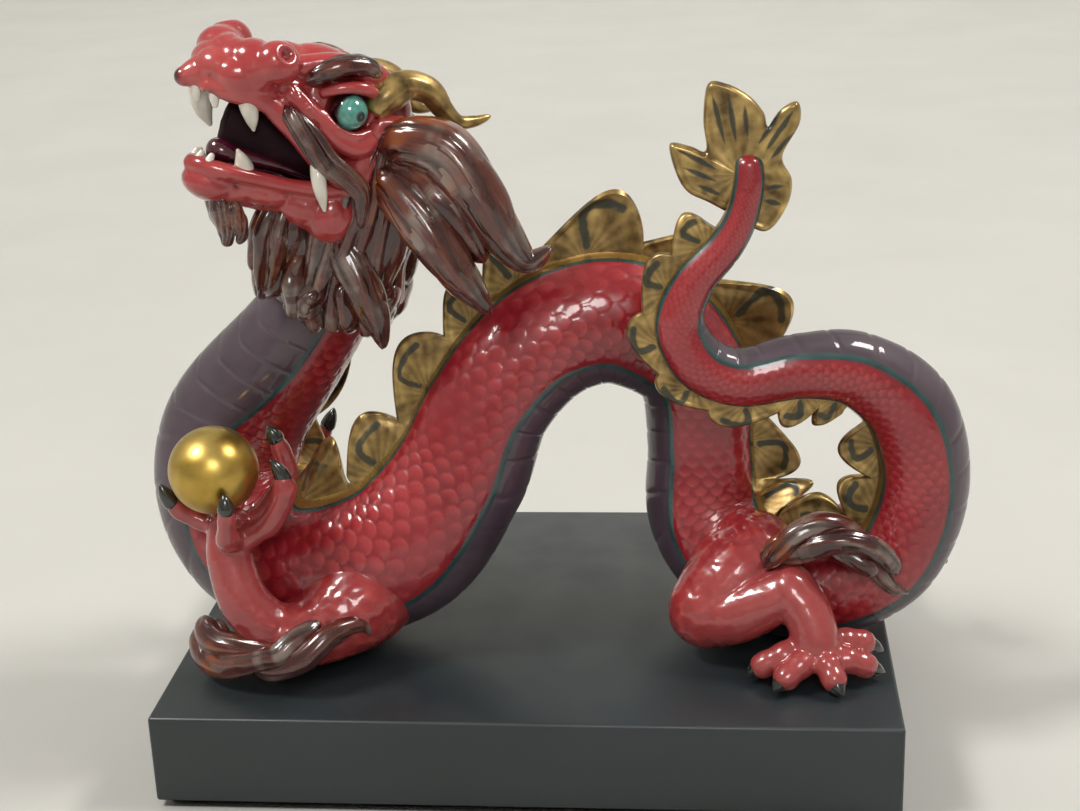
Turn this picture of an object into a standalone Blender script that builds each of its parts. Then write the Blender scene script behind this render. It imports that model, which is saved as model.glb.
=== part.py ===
"""Porcelain dragon holding a gilt ball, on a lacquered wooden plinth.

Lengths are in millimetres until a mesh is made, where MM turns them into metres. +Z is up, +X runs from
the head's end to the tail's end, and -Y is the side on which the ball is held out. The origin is the
centre of the plinth's underside.
"""
import math

import bmesh
import bpy
import numpy as np
from mathutils import Matrix, Vector

MM = 0.001
PLINTH_WIDTH = 330.0
PLINTH_DEPTH = 234.0
BLOCK_HEIGHT = 42.0
BLOCK_EDGE = 1.5
FELT_HEIGHT = 3.0
FELT_INSET = 5.0
PLINTH_TOP = FELT_HEIGHT + BLOCK_HEIGHT
GAP = 0.35
LIMB_GAP = 0.8
BALL_RADIUS = 20.0
BALL_CENTRE = (-137.0, -72.0, 145.0)
EYE_RADIUS = 8.0
FRONT = Vector((0.0, -1.0, 0.0))
UP = Vector((0.0, 0.0, 1.0))

# The head's own frame: forward to the nose, near side, and up through the brow.
HEAD_CENTRE = Vector((-80.0, -31.0, 299.0))
HEAD_FORWARD = Vector((-0.792, -0.495, 0.357)).normalized()
HEAD_NEAR = Vector((0.530, -0.848, 0.0)).normalized()

RED = ((0.42, 0.018, 0.030), 0.12, 0.0)
GOLD = ((0.60, 0.38, 0.10), 0.30, 0.9)
LUSTRE = ((0.13, 0.045, 0.025), 0.18, 0.3)
IVORY = ((0.80, 0.76, 0.68), 0.15, 0.0)
PLUM = ((0.06, 0.01, 0.02), 0.20, 0.0)
TURQUOISE = ((0.10, 0.32, 0.30), 0.10, 0.0)
LACQUER = ((0.012, 0.012, 0.014), 0.38, 0.0)
FELT = ((0.02, 0.02, 0.02), 0.95, 0.0)

# The body from throat to tail tip: x, y, z, half depth, half height, turn of the belly to the front.
BODY = np.array([
    (-81, -12, 223, 22, 23, 50),
    (-114, -2, 181, 28, 29, 50),
    (-143, 0, 144, 32, 35, 34),
    (-150, -8, 115, 32, 35, 20),
    (-136, -21, 91, 32, 36, 8),
    (-104, -34, 81, 32, 35.5, 2),
    (-61, -37, 95, 33, 37, 0),
    (-34, -31, 127, 30, 33, 0),
    (-18, -24, 161, 28, 30, 0),
    (5, -14, 186, 29, 31, 0),
    (32, -6, 195, 30, 32, 0),
    (56, -2, 188, 30, 32, 0),
    (75, 0, 166, 27, 28, 0),
    (78, -2, 132, 26, 26, 0),
    (80, -8, 98, 27, 28, 0),
    (100, -20, 76.5, 27, 28.5, 0),
    (133, -30, 71, 24, 25, 0),
    (165, -30, 86.5, 24, 22.5, 0),
    (178.5, -26, 120, 23, 21.5, 0),
    (171.5, -27, 155.5, 21.5, 21, 0),
    (149, -33, 177, 17, 18, 0),
    (123, -41, 182, 14.5, 15.5, 0),
    (96, -47, 179, 13.5, 14, 0),
    (78, -50, 187, 13, 13.5, 0),
    (69, -52, 205, 11.5, 12, 0),
    (75, -52, 224, 10, 10.5, 0),
    (88.5, -51, 239.5, 8.7, 9.2, 0),
    (95.5, -50.5, 252, 7.8, 8.2, 0),
    (98.8, -49.5, 266, 7.3, 7.7, 0),
    (98.5, -48.5, 278.5, 6.2, 6.6, 0),
], dtype=float)

# Each casting of the body: name, first and last place along BODY, and rings in it.
BODY_CASTINGS = [
    ("neck", 0.35, 2.7, 7),
    ("breast", 2.7, 4.4, 6),
    ("shoulder_body", 4.4, 6.2, 6),
    ("rising_body", 6.2, 9.0, 7),
    ("arch_body", 9.0, 11.8, 9),
    ("hind_body", 11.8, 14.2, 7),
    ("haunch_body", 14.2, 16.0, 6),
    ("loop_body", 16.0, 18.4, 8),
    ("tail_root", 18.4, 20.8, 8),
    ("tail_bridge", 20.8, 23.2, 8),
    ("tail_tip", 23.2, 29.0, 14),
]

# The gilt crest: for each casting of it, the lobes as first and last place, height and lean.
CRESTS = {
    "neck_crest": [(0.8, 1.7, 16, 4), (1.7, 2.6, 17, 4), (2.6, 3.7, 14, 2), (3.7, 5.8, 23, -2)],
    "rising_crest": [(5.9, 7.35, 18, 4), (7.35, 8.3, 20, 4), (8.3, 8.8, 17, 3)],
    "arch_crest": [(8.85, 9.4, 27, 3), (9.4, 10.45, 30, 8), (10.45, 11.2, 22, 4)],
    "hind_crest": [(11.25, 12.1, 30, 1), (12.1, 12.65, 13, 3), (12.65, 13.5, 20, 4), (13.5, 15.0, 23, 3)],
    "loop_crest": [(15.1, 16.9, 16, 0), (16.9, 18.1, 15, 1), (18.1, 19.3, 14, 1)],
    "bridge_crest": [(19.9, 20.7, 12, 3), (20.7, 21.5, 12, 3), (21.5, 22.4, 12, 3)],
    "tail_crest": [(22.4, 23.3, 11, 3), (23.3, 24.2, 13, 3), (24.2, 25.2, 12, 3), (25.2, 26.3, 13, 3)],
}
CREST_ROOT = 5.0
CREST_VALLEY = 4.5
CREST_RIM = 2.6


def empty_scene():
    for old in list(bpy.data.objects):
        bpy.data.objects.remove(old, do_unlink=True)


def add_piece(name, shape, look, parent=None):
    """Make a named object of the shape, with a material of its own."""
    bmesh.ops.recalc_face_normals(shape, faces=shape.faces)
    mesh = bpy.data.meshes.new(name)
    shape.to_mesh(mesh)
    shape.free()
    mesh.shade_smooth()
    mesh.set_sharp_from_angle(angle=math.radians(50))
    colour, roughness, metallic = look
    material = bpy.data.materials.new(name)
    material.use_nodes = True
    shader = material.node_tree.nodes["Principled BSDF"]
    shader.inputs["Base Color"].default_value = (*colour, 1.0)
    shader.inputs["Roughness"].default_value = roughness
    shader.inputs["Metallic"].default_value = metallic
    mesh.materials.append(material)
    piece = bpy.data.objects.new(name, mesh)
    bpy.context.collection.objects.link(piece)
    piece.parent = parent
    return piece


def row_at(rows, place):
    """Catmull-Rom value of the rows at a place, where whole numbers are the rows themselves."""
    last = len(rows) - 1
    first = max(0, min(int(place), last - 1))
    u = place - first
    a = rows[first]
    b = rows[first + 1]
    before = rows[first - 1] if first > 0 else 2 * a - b
    after = rows[first + 2] if first + 2 <= last else 2 * b - a
    curve = 3 * a - before - 3 * b + after
    return 0.5 * (2 * a + (b - before) * u + (2 * before - 5 * a + 4 * b - after) * u * u + curve * u ** 3)


def section(rows, place, towards):
    """Centre, travel, side, back, half depth and half height of the sweep at a place."""
    row = row_at(rows, place)
    ahead = row_at(rows, min(place + 0.05, len(rows) - 1))
    behind = row_at(rows, max(place - 0.05, 0))
    travel = Vector(ahead[:3] - behind[:3]).normalized()
    side = (towards - travel * towards.dot(travel)).normalized()
    back = side.cross(travel)
    turn = math.radians(row[5]) if len(row) > 5 else 0.0
    turned_side = side * math.cos(turn) + back * math.sin(turn)
    turned_back = back * math.cos(turn) - side * math.sin(turn)
    half_height = row[4] if len(row) > 4 else row[3]
    return Vector(row[:3]), travel, turned_side, turned_back, row[3], half_height


def tube(rows, rings, sides=12, first=0.0, last=None, towards=FRONT):
    """A closed sweep along the rows, with an elliptical section."""
    rows = np.array(rows, dtype=float)
    last = len(rows) - 1.0 if last is None else last
    shape = bmesh.new()
    angles = [2 * math.pi * k / sides for k in range(sides)]
    previous = None
    for ring in range(rings + 1):
        place = first + (last - first) * ring / rings
        centre, _, side, back, half_side, half_back = section(rows, place, towards)
        points = [centre + side * half_side * math.cos(a) + back * half_back * math.sin(a)
                  for a in angles]
        loop = [shape.verts.new(point * MM) for point in points]
        if previous is None:
            shape.faces.new(loop)
        else:
            for k in range(sides):
                n = (k + 1) % sides
                shape.faces.new((previous[k], previous[n], loop[n], loop[k]))
        previous = loop
    shape.faces.new(previous)
    return shape


def rounded(rows):
    """The rows with a small ring added at both ends, so that a free end looks round."""
    rows = [tuple(row) for row in rows]

    def closing(end, inner):
        outward = Vector(end[:3]) - Vector(inner[:3])
        point = Vector(end[:3]) + outward.normalized() * end[3] * 0.6
        return (*point, *[size * 0.3 for size in end[3:]])

    return [closing(rows[0], rows[1])] + rows + [closing(rows[-1], rows[-2])]


def ball(centre, radius, segments=18, rings=11):
    shape = bmesh.new()
    place = Matrix.Translation(Vector(centre) * MM)
    bmesh.ops.create_uvsphere(shape, u_segments=segments, v_segments=rings, radius=radius * MM, matrix=place)
    return shape


def box(width, depth, low, high, edge=0.0):
    """A box centred on the origin in plan, with its upright and top edges rounded by edge."""
    shape = bmesh.new()
    size = Matrix.Diagonal((width * MM, depth * MM, (high - low) * MM, 1.0))
    place = Matrix.Translation((0.0, 0.0, (low + high) / 2 * MM))
    bmesh.ops.create_cube(shape, size=1.0, matrix=place @ size)
    if edge:
        bmesh.ops.bevel(shape, geom=shape.edges[:], offset=edge * MM, segments=2, affect='EDGES')
    return shape


def cutting_copy(piece, grow):
    """A hidden copy of a piece's own mesh, grown along its normals."""
    cutter = bpy.data.objects.new("cut_" + piece.name, piece.data.copy())
    bpy.context.collection.objects.link(cutter)
    cutter.parent = piece.parent
    shape = bmesh.new()
    shape.from_mesh(cutter.data)
    shape.normal_update()
    moves = [(vert, vert.normal * grow * MM) for vert in shape.verts]
    for vert, move in moves:
        vert.co += move
    shape.to_mesh(cutter.data)
    shape.free()
    cutter.hide_render = True
    cutter.display_type = 'WIRE'
    return cutter


def fit_round(piece, *neighbours, solver='EXACT', gap=GAP):
    """Cut the neighbours out of a piece, leaving the narrow gap that pieces are luted across."""
    for neighbour in neighbours:
        cut = piece.modifiers.new("fit_" + neighbour.name, 'BOOLEAN')
        cut.operation = 'DIFFERENCE'
        cut.solver = solver
        cut.object = cutting_copy(neighbour, gap)


def grow_on(piece, *shapes):
    """Fuse further shapes, such as fingers, onto a piece."""
    for shape in shapes:
        extra = add_piece(piece.name + "_part", shape, RED, piece.parent)
        extra.hide_render = True
        extra.display_type = 'WIRE'
        fuse = piece.modifiers.new("fuse", 'BOOLEAN')
        fuse.operation = 'UNION'
        fuse.solver = 'MANIFOLD'  # EXACT leaves open edges where a bone folds over itself
        fuse.object = extra


def plinth():
    felt = box(PLINTH_WIDTH - 2 * FELT_INSET, PLINTH_DEPTH - 2 * FELT_INSET, 0.0, FELT_HEIGHT - 0.2)
    add_piece("plinth_felt", felt, FELT)
    block = box(PLINTH_WIDTH, PLINTH_DEPTH, FELT_HEIGHT, PLINTH_TOP, BLOCK_EDGE)
    add_piece("plinth_block", block, LACQUER)


def body_castings():
    castings = {}
    for name, first, last, rings in BODY_CASTINGS:
        joint = 0.006
        first_ring = first if first == BODY_CASTINGS[0][1] else first + joint
        last_ring = last if last == len(BODY) - 1 else last - joint
        shape = tube(BODY, rings, 14, first_ring, last_ring)
        castings[name] = add_piece(name, shape, RED)
    return castings


def crest(lobes):
    """A thin gilt blade along the body's back, with a rounded lobe that leans to the tail for each entry."""
    shape = bmesh.new()
    previous = None
    steps = 8
    for lobe, (first, last, height, lean) in enumerate(lobes):
        _, travel, _, back, _, _ = section(BODY, (first + last) / 2, FRONT)
        ends = []
        for place in (first, last):
            centre, _, _, end_back, _, half_back = section(BODY, place, FRONT)
            ends.append(centre + end_back * (half_back + CREST_VALLEY))
        for step in range(steps + 1):
            if step == 0 and lobe > 0:
                continue
            share = step / steps
            centre, _, side, root_back, _, half_back = section(BODY, first + (last - first) * share, FRONT)
            root = centre + root_back * (half_back + GAP + 0.25)
            swell = max(0.0, math.sin(math.pi * share ** 1.4)) ** 0.7
            rim = ends[0].lerp(ends[1], share) + (back * (height - CREST_VALLEY) + travel * lean) * swell
            points = (root + side * CREST_ROOT / 2, root - side * CREST_ROOT / 2,
                      rim - side * CREST_RIM / 2, rim + side * CREST_RIM / 2)
            loop = [shape.verts.new(point * MM) for point in points]
            if previous is None:
                shape.faces.new(loop)
            else:
                for k in range(4):
                    n = (k + 1) % 4
                    shape.faces.new((previous[k], previous[n], loop[n], loop[k]))
            previous = loop
    shape.faces.new(previous)
    return shape


def tail_fin():
    """The flame-shaped gilt fin round the tail's tip, a flat blade with pointed tongues."""
    outline = [(92, 252), (82, 258), (73, 263), (68, 272), (66, 283), (74, 282), (81, 280), (80, 293), (82, 308),
               (90, 308), (99, 303), (105, 296), (107, 290), (112, 297), (119, 300), (120, 291), (113, 277),
               (117, 267), (115, 256), (106, 245)]
    shape = bmesh.new()
    front = [shape.verts.new(Vector((x, -50.5, z)) * MM) for x, z in outline]
    face = shape.faces.new(front)
    extruded = bmesh.ops.extrude_face_region(shape, geom=[face])
    moved = [item for item in extruded["geom"] if isinstance(item, bmesh.types.BMVert)]
    bmesh.ops.translate(shape, verts=moved, vec=Vector((0.0, 5.0, 0.0)) * MM)
    return shape


def head_frame():
    frame = bpy.data.objects.new("head_frame", None)
    bpy.context.collection.objects.link(frame)
    up = HEAD_FORWARD.cross(HEAD_NEAR)
    turn = Matrix((HEAD_FORWARD, HEAD_NEAR, up)).transposed().to_4x4()
    frame.matrix_world = Matrix.Translation(HEAD_CENTRE * MM) @ turn
    return frame


def mirrored(rows, side):
    """Head rows on the near side, or turned to the far side when side is -1."""
    return [(row[0], row[1] * side, *row[2:]) for row in rows]


def head(frame):
    """Skull, jaw and all that is set on them. Rows are forward, near, up, half width, half height."""
    near = Vector((0.0, 1.0, 0.0))
    skull_rows = [(-31, 0, 0, 9, 10), (-25, 0, 0, 19, 20), (-10, 0, 2, 23, 26), (6, 0, 3, 22, 25),
                  (20, 0, 5, 19, 20), (33, 0, 5, 17, 16), (46, 0, 7, 17, 17), (57, 0, 4, 14, 14),
                  (65, 0, -2, 8, 7), (68, 0, -4, 3, 3)]
    skull = add_piece("skull", tube(skull_rows, 14, 14, towards=near), RED, frame)
    jaw_rows = [(-28, 0, -38, 12, 12), (-20, 0, -41, 21, 17), (-8, 0, -43, 21, 15.5), (8, 0, -43, 18, 11),
                (24, 0, -43, 15, 8), (40, 0, -44, 13, 8.5), (52, 0, -44, 10, 8), (57.5, 0, -44, 4, 4)]
    jaw = add_piece("lower_jaw", tube(jaw_rows, 11, 12, towards=near), RED, frame)
    tongue_rows = rounded([(8, 0, -32, 9, 3), (28, 0, -31, 8, 4), (43, 0, -30, 6, 4)])
    tongue = add_piece("tongue", tube(tongue_rows, 8, 8, towards=near), PLUM, frame)
    fit_round(tongue, jaw, skull)
    for word, side in (("near", 1), ("far", -1)):
        eye = add_piece("eye_" + word, ball((0, 19.5 * side, 0), EYE_RADIUS, 12, 8), TURQUOISE, frame)
        fit_round(eye, skull)
        brow_rows = rounded([(19, 17 * side, 9, 3.5, 3), (8, 18 * side, 19, 4.5, 3.5), (-8, 18 * side, 19, 3, 3)])
        brow = add_piece("brow_" + word, tube(brow_rows, 6, 6, towards=near), LUSTRE, frame)
        fit_round(brow, skull)
        whisker_rows = rounded(mirrored([(27, 18, -6, 3), (18, 21, -14, 4), (7, 23, -24, 4.5), (-4, 24, -29, 4.5),
                                         (-13, 25, -34, 4), (-18, 25, -45, 2.5)], side))
        whisker = add_piece("whisker_" + word, tube(whisker_rows, 9, 6, towards=near), LUSTRE, frame)
        fit_round(whisker, skull, jaw)
        horn_rows = rounded(mirrored([(-15, 16, 12, 8), (-24, 19, 18, 7), (-36, 21, 15, 5.5), (-46, 22, 10, 3.5),
                                      (-54, 23, 12, 2.5), (-61, 24, 18, 1.2)], side))
        horn = add_piece("horn_" + word, tube(horn_rows, 11, 8, towards=near), GOLD, frame)
        fit_round(horn, skull)
        ear_rows = rounded(mirrored([(-16, 20, -4, 5, 6), (-24, 26, -2, 4, 5), (-33, 29, 3, 1.5, 2)], side))
        ear = add_piece("ear_" + word, tube(ear_rows, 6, 6, towards=near), RED, frame)
        fit_round(ear, skull, horn)
        canine_rows = mirrored([(43, 12.5, -6, 3.4), (41, 13, -13, 2.6), (38, 13, -21, 0.8)], side)
        canine = add_piece("canine_" + word, tube(canine_rows, 3, 6, towards=near), IVORY, frame)
        fit_round(canine, skull)
        tusk_rows = mirrored([(6, 18, -22, 3.6), (4, 19, -28, 3.0), (1, 20, -37, 0.8)], side)
        tusk = add_piece("tusk_" + word, tube(tusk_rows, 3, 6, towards=near), IVORY, frame)
        fit_round(tusk, skull, jaw, whisker)
        lower_rows = mirrored([(34, 11, -40, 3.2), (35, 12, -33, 2.4), (36, 12, -26, 0.7)], side)
        lower = add_piece("lower_canine_" + word, tube(lower_rows, 3, 6, towards=near), IVORY, frame)
        fit_round(lower, jaw)
    goatee_rows = rounded([(38, 0, -50, 9, 5), (33, 0, -58, 9, 6), (30, 0, -66, 5, 4)])
    goatee = add_piece("goatee", tube(goatee_rows, 6, 8, towards=near), LUSTRE, frame)
    fit_round(goatee, jaw)
    return skull, jaw


def in_world(rows, side):
    """World rows kept on the near side, or mirrored in the head's middle plane when side is -1."""
    if side > 0:
        return rows
    turned = []
    for row in rows:
        offset = (Vector(row[:3]) - HEAD_CENTRE).dot(HEAD_NEAR)
        turned.append((*(Vector(row[:3]) - HEAD_NEAR * 2 * offset), *row[3:]))
    return turned


def mane(skull, jaw, neck):
    ruff_rows = [(-94, -8, 209, 32, 32), (-88, -12, 220, 34, 34), (-80, -17, 236, 34, 33), (-70, -22, 256, 31, 31),
                 (-62, -22, 276, 25, 26), (-56, -20, 291, 15, 17), (-53, -19, 297, 7, 8)]
    ruff = add_piece("mane_ruff", tube(ruff_rows, 9, 12), LUSTRE)
    set_on = [bpy.data.objects[name] for name in ("whisker_near", "whisker_far", "ear_near", "ear_far")]
    fit_round(ruff, skull, jaw, neck, *set_on)
    beard_rows = rounded([(-103, -46, 254, 8), (-109, -42, 239, 8), (-115, -37, 225, 6), (-120, -31, 212, 2)])
    beard = add_piece("mane_beard", tube(beard_rows, 9, 8), LUSTRE)
    fit_round(beard, ruff, jaw, neck)
    locks = {
        "crown": [(-52, -38, 283, 11), (-30, -44, 279, 11.5), (-16, -46, 261, 11.5), (-7, -43, 243, 9),
                  (4, -39, 230, 5.5), (13, -37, 235, 3)],
        "cheek": [(-56, -42, 268, 9.5), (-40, -50, 248, 10.5), (-27, -52, 229, 8.5), (-18, -50, 217, 5),
                  (-13, -48, 210, 2)],
        "throat": [(-78, -42, 238, 8), (-70, -46, 221, 8), (-64, -46, 205, 5.5), (-62, -44, 193, 2)],
    }
    placed = []
    for word, side in (("near", 1), ("far", -1)):
        for lock, rows in locks.items():
            name = "mane_" + lock + "_" + word
            piece = add_piece(name, tube(rounded(in_world(rows, side)), 9, 8), LUSTRE)
            fit_round(piece, ruff, skull, jaw, neck, beard, *set_on, *placed[-1:])
            placed.append(piece)
        placed = []


def limb(name, bones, fingers, *bodies):
    """A limb from its bones, which run from joint to joint, and its fingers, fused and fitted to the body."""
    towards = UP + FRONT * 0.3
    piece = add_piece(name, tube(rounded(bones[0]), 6, 10, towards=towards), RED)
    grow_on(piece, *[tube(rounded(bone), 6, 10, towards=towards) for bone in bones[1:]])
    grow_on(piece, *[tube(rounded(finger), 6, 6, towards=towards) for finger in fingers])
    fit_round(piece, *bodies, solver='MANIFOLD', gap=LIMB_GAP)
    return piece


def limbs(castings):
    ball_piece = add_piece("pearl", ball(BALL_CENTRE, BALL_RADIUS), GOLD)
    bones = [[(-69, -44, 81, 23), (-82, -58, 73, 23), (-98, -70, 66, 17), (-114, -76, 66, 13)],
             [(-115, -76, 67, 13), (-127, -77, 83, 11.5), (-133, -73, 102, 10.5), (-134, -68, 116, 10)]]
    fingers = [
        [(-136, -68, 116, 5), (-146, -67, 118, 4.5), (-156, -69, 125, 4), (-162, -72, 138, 1.5)],
        [(-131, -76, 113, 6), (-129, -88, 119, 5), (-127, -93, 131, 4), (-127, -94, 142, 1.5)],
        [(-128, -64, 114, 6), (-117, -60, 121, 5.5), (-108, -58, 138, 5), (-110, -58, 151, 4), (-114, -60, 161, 1.5)],
        [(-126, -72, 112, 6), (-113, -74, 121, 5.5), (-105, -74, 137, 5), (-110, -76, 151, 2)],
    ]
    limb("arm_near", bones, fingers, castings["shoulder_body"], castings["breast"],
         castings["rising_body"], ball_piece)
    bones = [[(-90, -6, 80, 21), (-104, 16, 72, 20), (-122, 34, 66, 15), (-134, 44, 70, 12)],
             [(-134, 44, 71, 12), (-138, 47, 82, 11), (-138, 49, 94, 10), (-136, 50, 104, 9.5)]]
    fingers = [
        [(-140, 48, 104, 5), (-150, 46, 112, 4.5), (-154, 46, 122, 4), (-152, 46, 131, 1.5)],
        [(-135, 54, 104, 5), (-136, 64, 112, 4.5), (-135, 66, 123, 4), (-131, 65, 132, 1.5)],
        [(-131, 50, 102, 5), (-121, 50, 108, 4.5), (-114, 50, 117, 4), (-108, 50, 130, 1.5)],
    ]
    limb("arm_far", bones, fingers, castings["shoulder_body"], castings["breast"])
    bones = [[(102, -36, 88, 22), (92, -44, 80, 22), (82, -51, 70, 19)],
             [(80, -52, 68, 17), (94, -58, 71, 15), (107, -61, 77.5, 13), (118, -61, 84, 11.5)],
             [(118, -62, 84, 11.5), (123, -65, 78, 11.5), (127, -69, 71, 11), (129, -72, 63, 11)]]
    toes = [
        [(124, -72, 62, 6.5), (115, -75, 58, 5.8), (106, -76, 53.5, 5.6), (101, -78, 48.5, 1.5)],
        [(128, -76, 60, 6.5), (122, -82, 56.5, 5.8), (116, -86, 53, 5.6), (112, -90, 48, 1.5)],
        [(132, -76, 60, 6.5), (134, -83, 56.5, 5.8), (136, -87, 53, 5.6), (139, -92, 48, 1.5)],
        [(134, -74, 60, 6.5), (143, -76, 56.5, 5.8), (150, -75, 53.5, 5.6), (157, -74, 49, 1.5)],
        [(134, -70, 62, 6.5), (143, -66, 61, 5.8), (150, -64, 59, 5.6), (157, -63, 54, 1.5)],
    ]
    limb("leg_near", bones, toes, castings["haunch_body"], castings["hind_body"],
         castings["loop_body"])
    bones = [[(112, 0, 87, 22), (114, 12, 78, 21), (118, 25, 68, 17)],
             [(118, 26, 66, 15), (138, 33, 69, 12.5), (155, 34, 77, 10), (169, 34, 84, 8.5)],
             [(170, 34, 83, 9), (175, 37, 75, 8.5), (177, 40, 68, 8.5), (177, 42, 62, 9)]]
    toes = [
        [(172, 44, 60, 6), (166, 52, 56, 5), (162, 60, 52, 5), (160, 67, 48, 1.5)],
        [(178, 44, 60, 6), (182, 52, 56, 5), (184, 58, 52, 5), (186, 64, 50, 1.5)],
        [(180, 42, 60, 6), (188, 42, 57, 5), (193, 41, 55, 4.5), (197, 40, 51, 1.5)],
        [(178, 38, 62, 6), (186, 34, 61, 5), (191, 32, 60, 4.5), (196, 31, 56, 1.5)],
    ]
    limb("leg_far", bones, toes, castings["haunch_body"], castings["hind_body"],
         castings["loop_body"])


def hair_tufts():
    tufts = {
        "elbow_hair_near": [(-152, -60, 62, 6), (-146, -72, 56.5, 9), (-132, -82, 55.5, 9), (-118, -90, 60, 7),
                            (-106, -92, 60, 9), (-92, -86, 70, 8.5), (-78, -76, 72, 6), (-76, -72, 62, 4)],
        "elbow_hair_far": [(-146, 34, 60, 5), (-140, 46, 56, 8), (-124, 54, 57, 8), (-108, 46, 62, 7),
                           (-96, 34, 62, 4)],
        "hock_hair_near": [(112, -56, 98, 5), (124, -56, 104, 7), (138, -56, 105, 7.5), (152, -56, 98, 7.5),
                           (162, -54, 88, 6.5), (170, -52, 81, 3)],
        "hock_hair_far": [(156, 28, 96, 5), (168, 30, 98, 7), (180, 28, 92, 6), (190, 24, 84, 3)],
    }
    limb_of = {"elbow_hair_near": "arm_near", "elbow_hair_far": "arm_far",
               "hock_hair_near": "leg_near", "hock_hair_far": "leg_far"}
    for name, rows in tufts.items():
        tuft = add_piece(name, tube(rounded(rows), 12, 8, towards=UP), LUSTRE)
        bodies = ("breast", "shoulder_body") if name.startswith("elbow") else ("haunch_body", "loop_body")
        fit_round(tuft, *[bpy.data.objects[body] for body in bodies])
        owner = bpy.data.objects[limb_of[name]]
        fit_round(owner, tuft, solver='MANIFOLD', gap=LIMB_GAP)


def build():
    empty_scene()
    plinth()
    castings = body_castings()
    for name, lobes in CRESTS.items():
        add_piece(name, crest(lobes), GOLD)
    fin = add_piece("tail_fin", tail_fin(), GOLD)
    fit_round(fin, castings["tail_tip"], bpy.data.objects["tail_crest"])
    frame = head_frame()
    skull, jaw = head(frame)
    mane(skull, jaw, castings["neck"])
    limbs(castings)
    hair_tufts()


build()
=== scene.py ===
import math
import bmesh
import bpy
import numpy as np
from mathutils import Matrix, Vector


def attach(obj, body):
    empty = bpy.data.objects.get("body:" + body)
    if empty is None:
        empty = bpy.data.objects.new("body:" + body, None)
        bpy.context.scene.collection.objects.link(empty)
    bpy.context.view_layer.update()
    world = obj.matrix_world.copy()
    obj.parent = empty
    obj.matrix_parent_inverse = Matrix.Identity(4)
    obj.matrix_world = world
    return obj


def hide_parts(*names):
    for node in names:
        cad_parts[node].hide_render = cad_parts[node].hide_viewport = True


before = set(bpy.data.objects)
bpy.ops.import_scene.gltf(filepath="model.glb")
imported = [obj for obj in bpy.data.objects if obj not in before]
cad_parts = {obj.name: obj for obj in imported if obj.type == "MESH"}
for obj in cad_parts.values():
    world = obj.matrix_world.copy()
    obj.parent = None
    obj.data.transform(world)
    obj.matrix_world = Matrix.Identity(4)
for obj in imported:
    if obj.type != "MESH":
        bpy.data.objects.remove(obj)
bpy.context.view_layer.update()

MM = 0.001

# Camera, floor and lights. A pale sweep of paper stands in for the table and the wall behind.
# Two soft lamps hang overhead, a weaker one stands in front and a wide one lights the paper wall.


def colour(red, green, blue):
    """A paint mixed from screen values of 0 to 255, in the linear light that the shaders use."""
    shares = [value / 255 for value in (red, green, blue)]
    linear = [share / 12.92 if share < 0.04 else ((share + 0.055) / 1.055) ** 2.4 for share in shares]
    return (*linear, 1.0)


def new_finish(name, roughness, metallic=0.0, coat=0.0, coat_roughness=0.04):
    """A material and its shader, with the numbers that are the same all over the surface."""
    finish = bpy.data.materials.new(name)
    finish.use_nodes = True
    shader = finish.node_tree.nodes["Principled BSDF"]
    shader.inputs["Roughness"].default_value = roughness
    shader.inputs["Metallic"].default_value = metallic
    shader.inputs["Coat Weight"].default_value = coat
    shader.inputs["Coat Roughness"].default_value = coat_roughness
    return finish, shader


def add_node(finish, kind, inputs=(), **settings):
    """A node with its settings; each input is a number, a colour or another node's output."""
    node = finish.node_tree.nodes.new("ShaderNode" + kind)
    for key, value in settings.items():
        setattr(node, key, value)
    for socket, value in inputs:
        if isinstance(value, bpy.types.NodeSocket):
            finish.node_tree.links.new(value, node.inputs[socket])
        else:
            node.inputs[socket].default_value = value
    return node


def cloud(finish, scale, detail=4.0, stretch=(1, 1, 1), distortion=0.0):
    """A soft noise on the piece's own place in space."""
    place = add_node(finish, "TexCoord").outputs["Object"]
    placed = add_node(finish, "Mapping", [("Vector", place), ("Scale", stretch)]).outputs[0]
    inputs = [("Vector", placed), ("Scale", scale), ("Detail", detail), ("Distortion", distortion)]
    return add_node(finish, "TexNoise", inputs).outputs[0]


def ramp(finish, factor, *stops):
    """Colours laid along a factor from 0 to 1."""
    node = add_node(finish, "ValToRGB", [("Fac", factor)])
    band = node.color_ramp
    while len(band.elements) < len(stops):
        band.elements.new(0.5)
    for element, (place, paint) in zip(band.elements, stops):
        element.position = place
        element.color = paint
    return node.outputs["Color"]


def blend(finish, factor, first, second):
    """The second colour laid over the first, as strongly as the factor says."""
    inputs = [(0, factor), (6, first), (7, second)]
    return add_node(finish, "Mix", inputs, data_type="RGBA").outputs[2]


def sums(finish, operation, first, second=0.0, third=0.0):
    """One sum of two or three numbers."""
    inputs = [(0, first), (1, second), (2, third)]
    return add_node(finish, "Math", inputs, operation=operation).outputs[0]


def fade(finish, value, low, high):
    """0 at low, 1 at high, and smooth between."""
    inputs = [("Value", value), ("From Min", low), ("From Max", high)]
    return add_node(finish, "MapRange", inputs, interpolation_type="SMOOTHSTEP").outputs["Result"]


def measured(finish, name):
    """A number that the mesh carries at each of its points."""
    return add_node(finish, "Attribute", attribute_name=name).outputs["Fac"]


def relief(finish, shader, height, depth, strength=1.0):
    """Fine surface height in millimetres."""
    inputs = [("Height", height), ("Distance", depth * MM), ("Strength", strength)]
    bump = add_node(finish, "Bump", inputs)
    finish.node_tree.links.new(bump.outputs[0], shader.inputs["Normal"])
    finish.node_tree.links.new(bump.outputs[0], shader.inputs["Coat Normal"])


def paint_on(finish, shader, socket, value):
    finish.node_tree.links.new(value, shader.inputs[socket])


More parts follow.
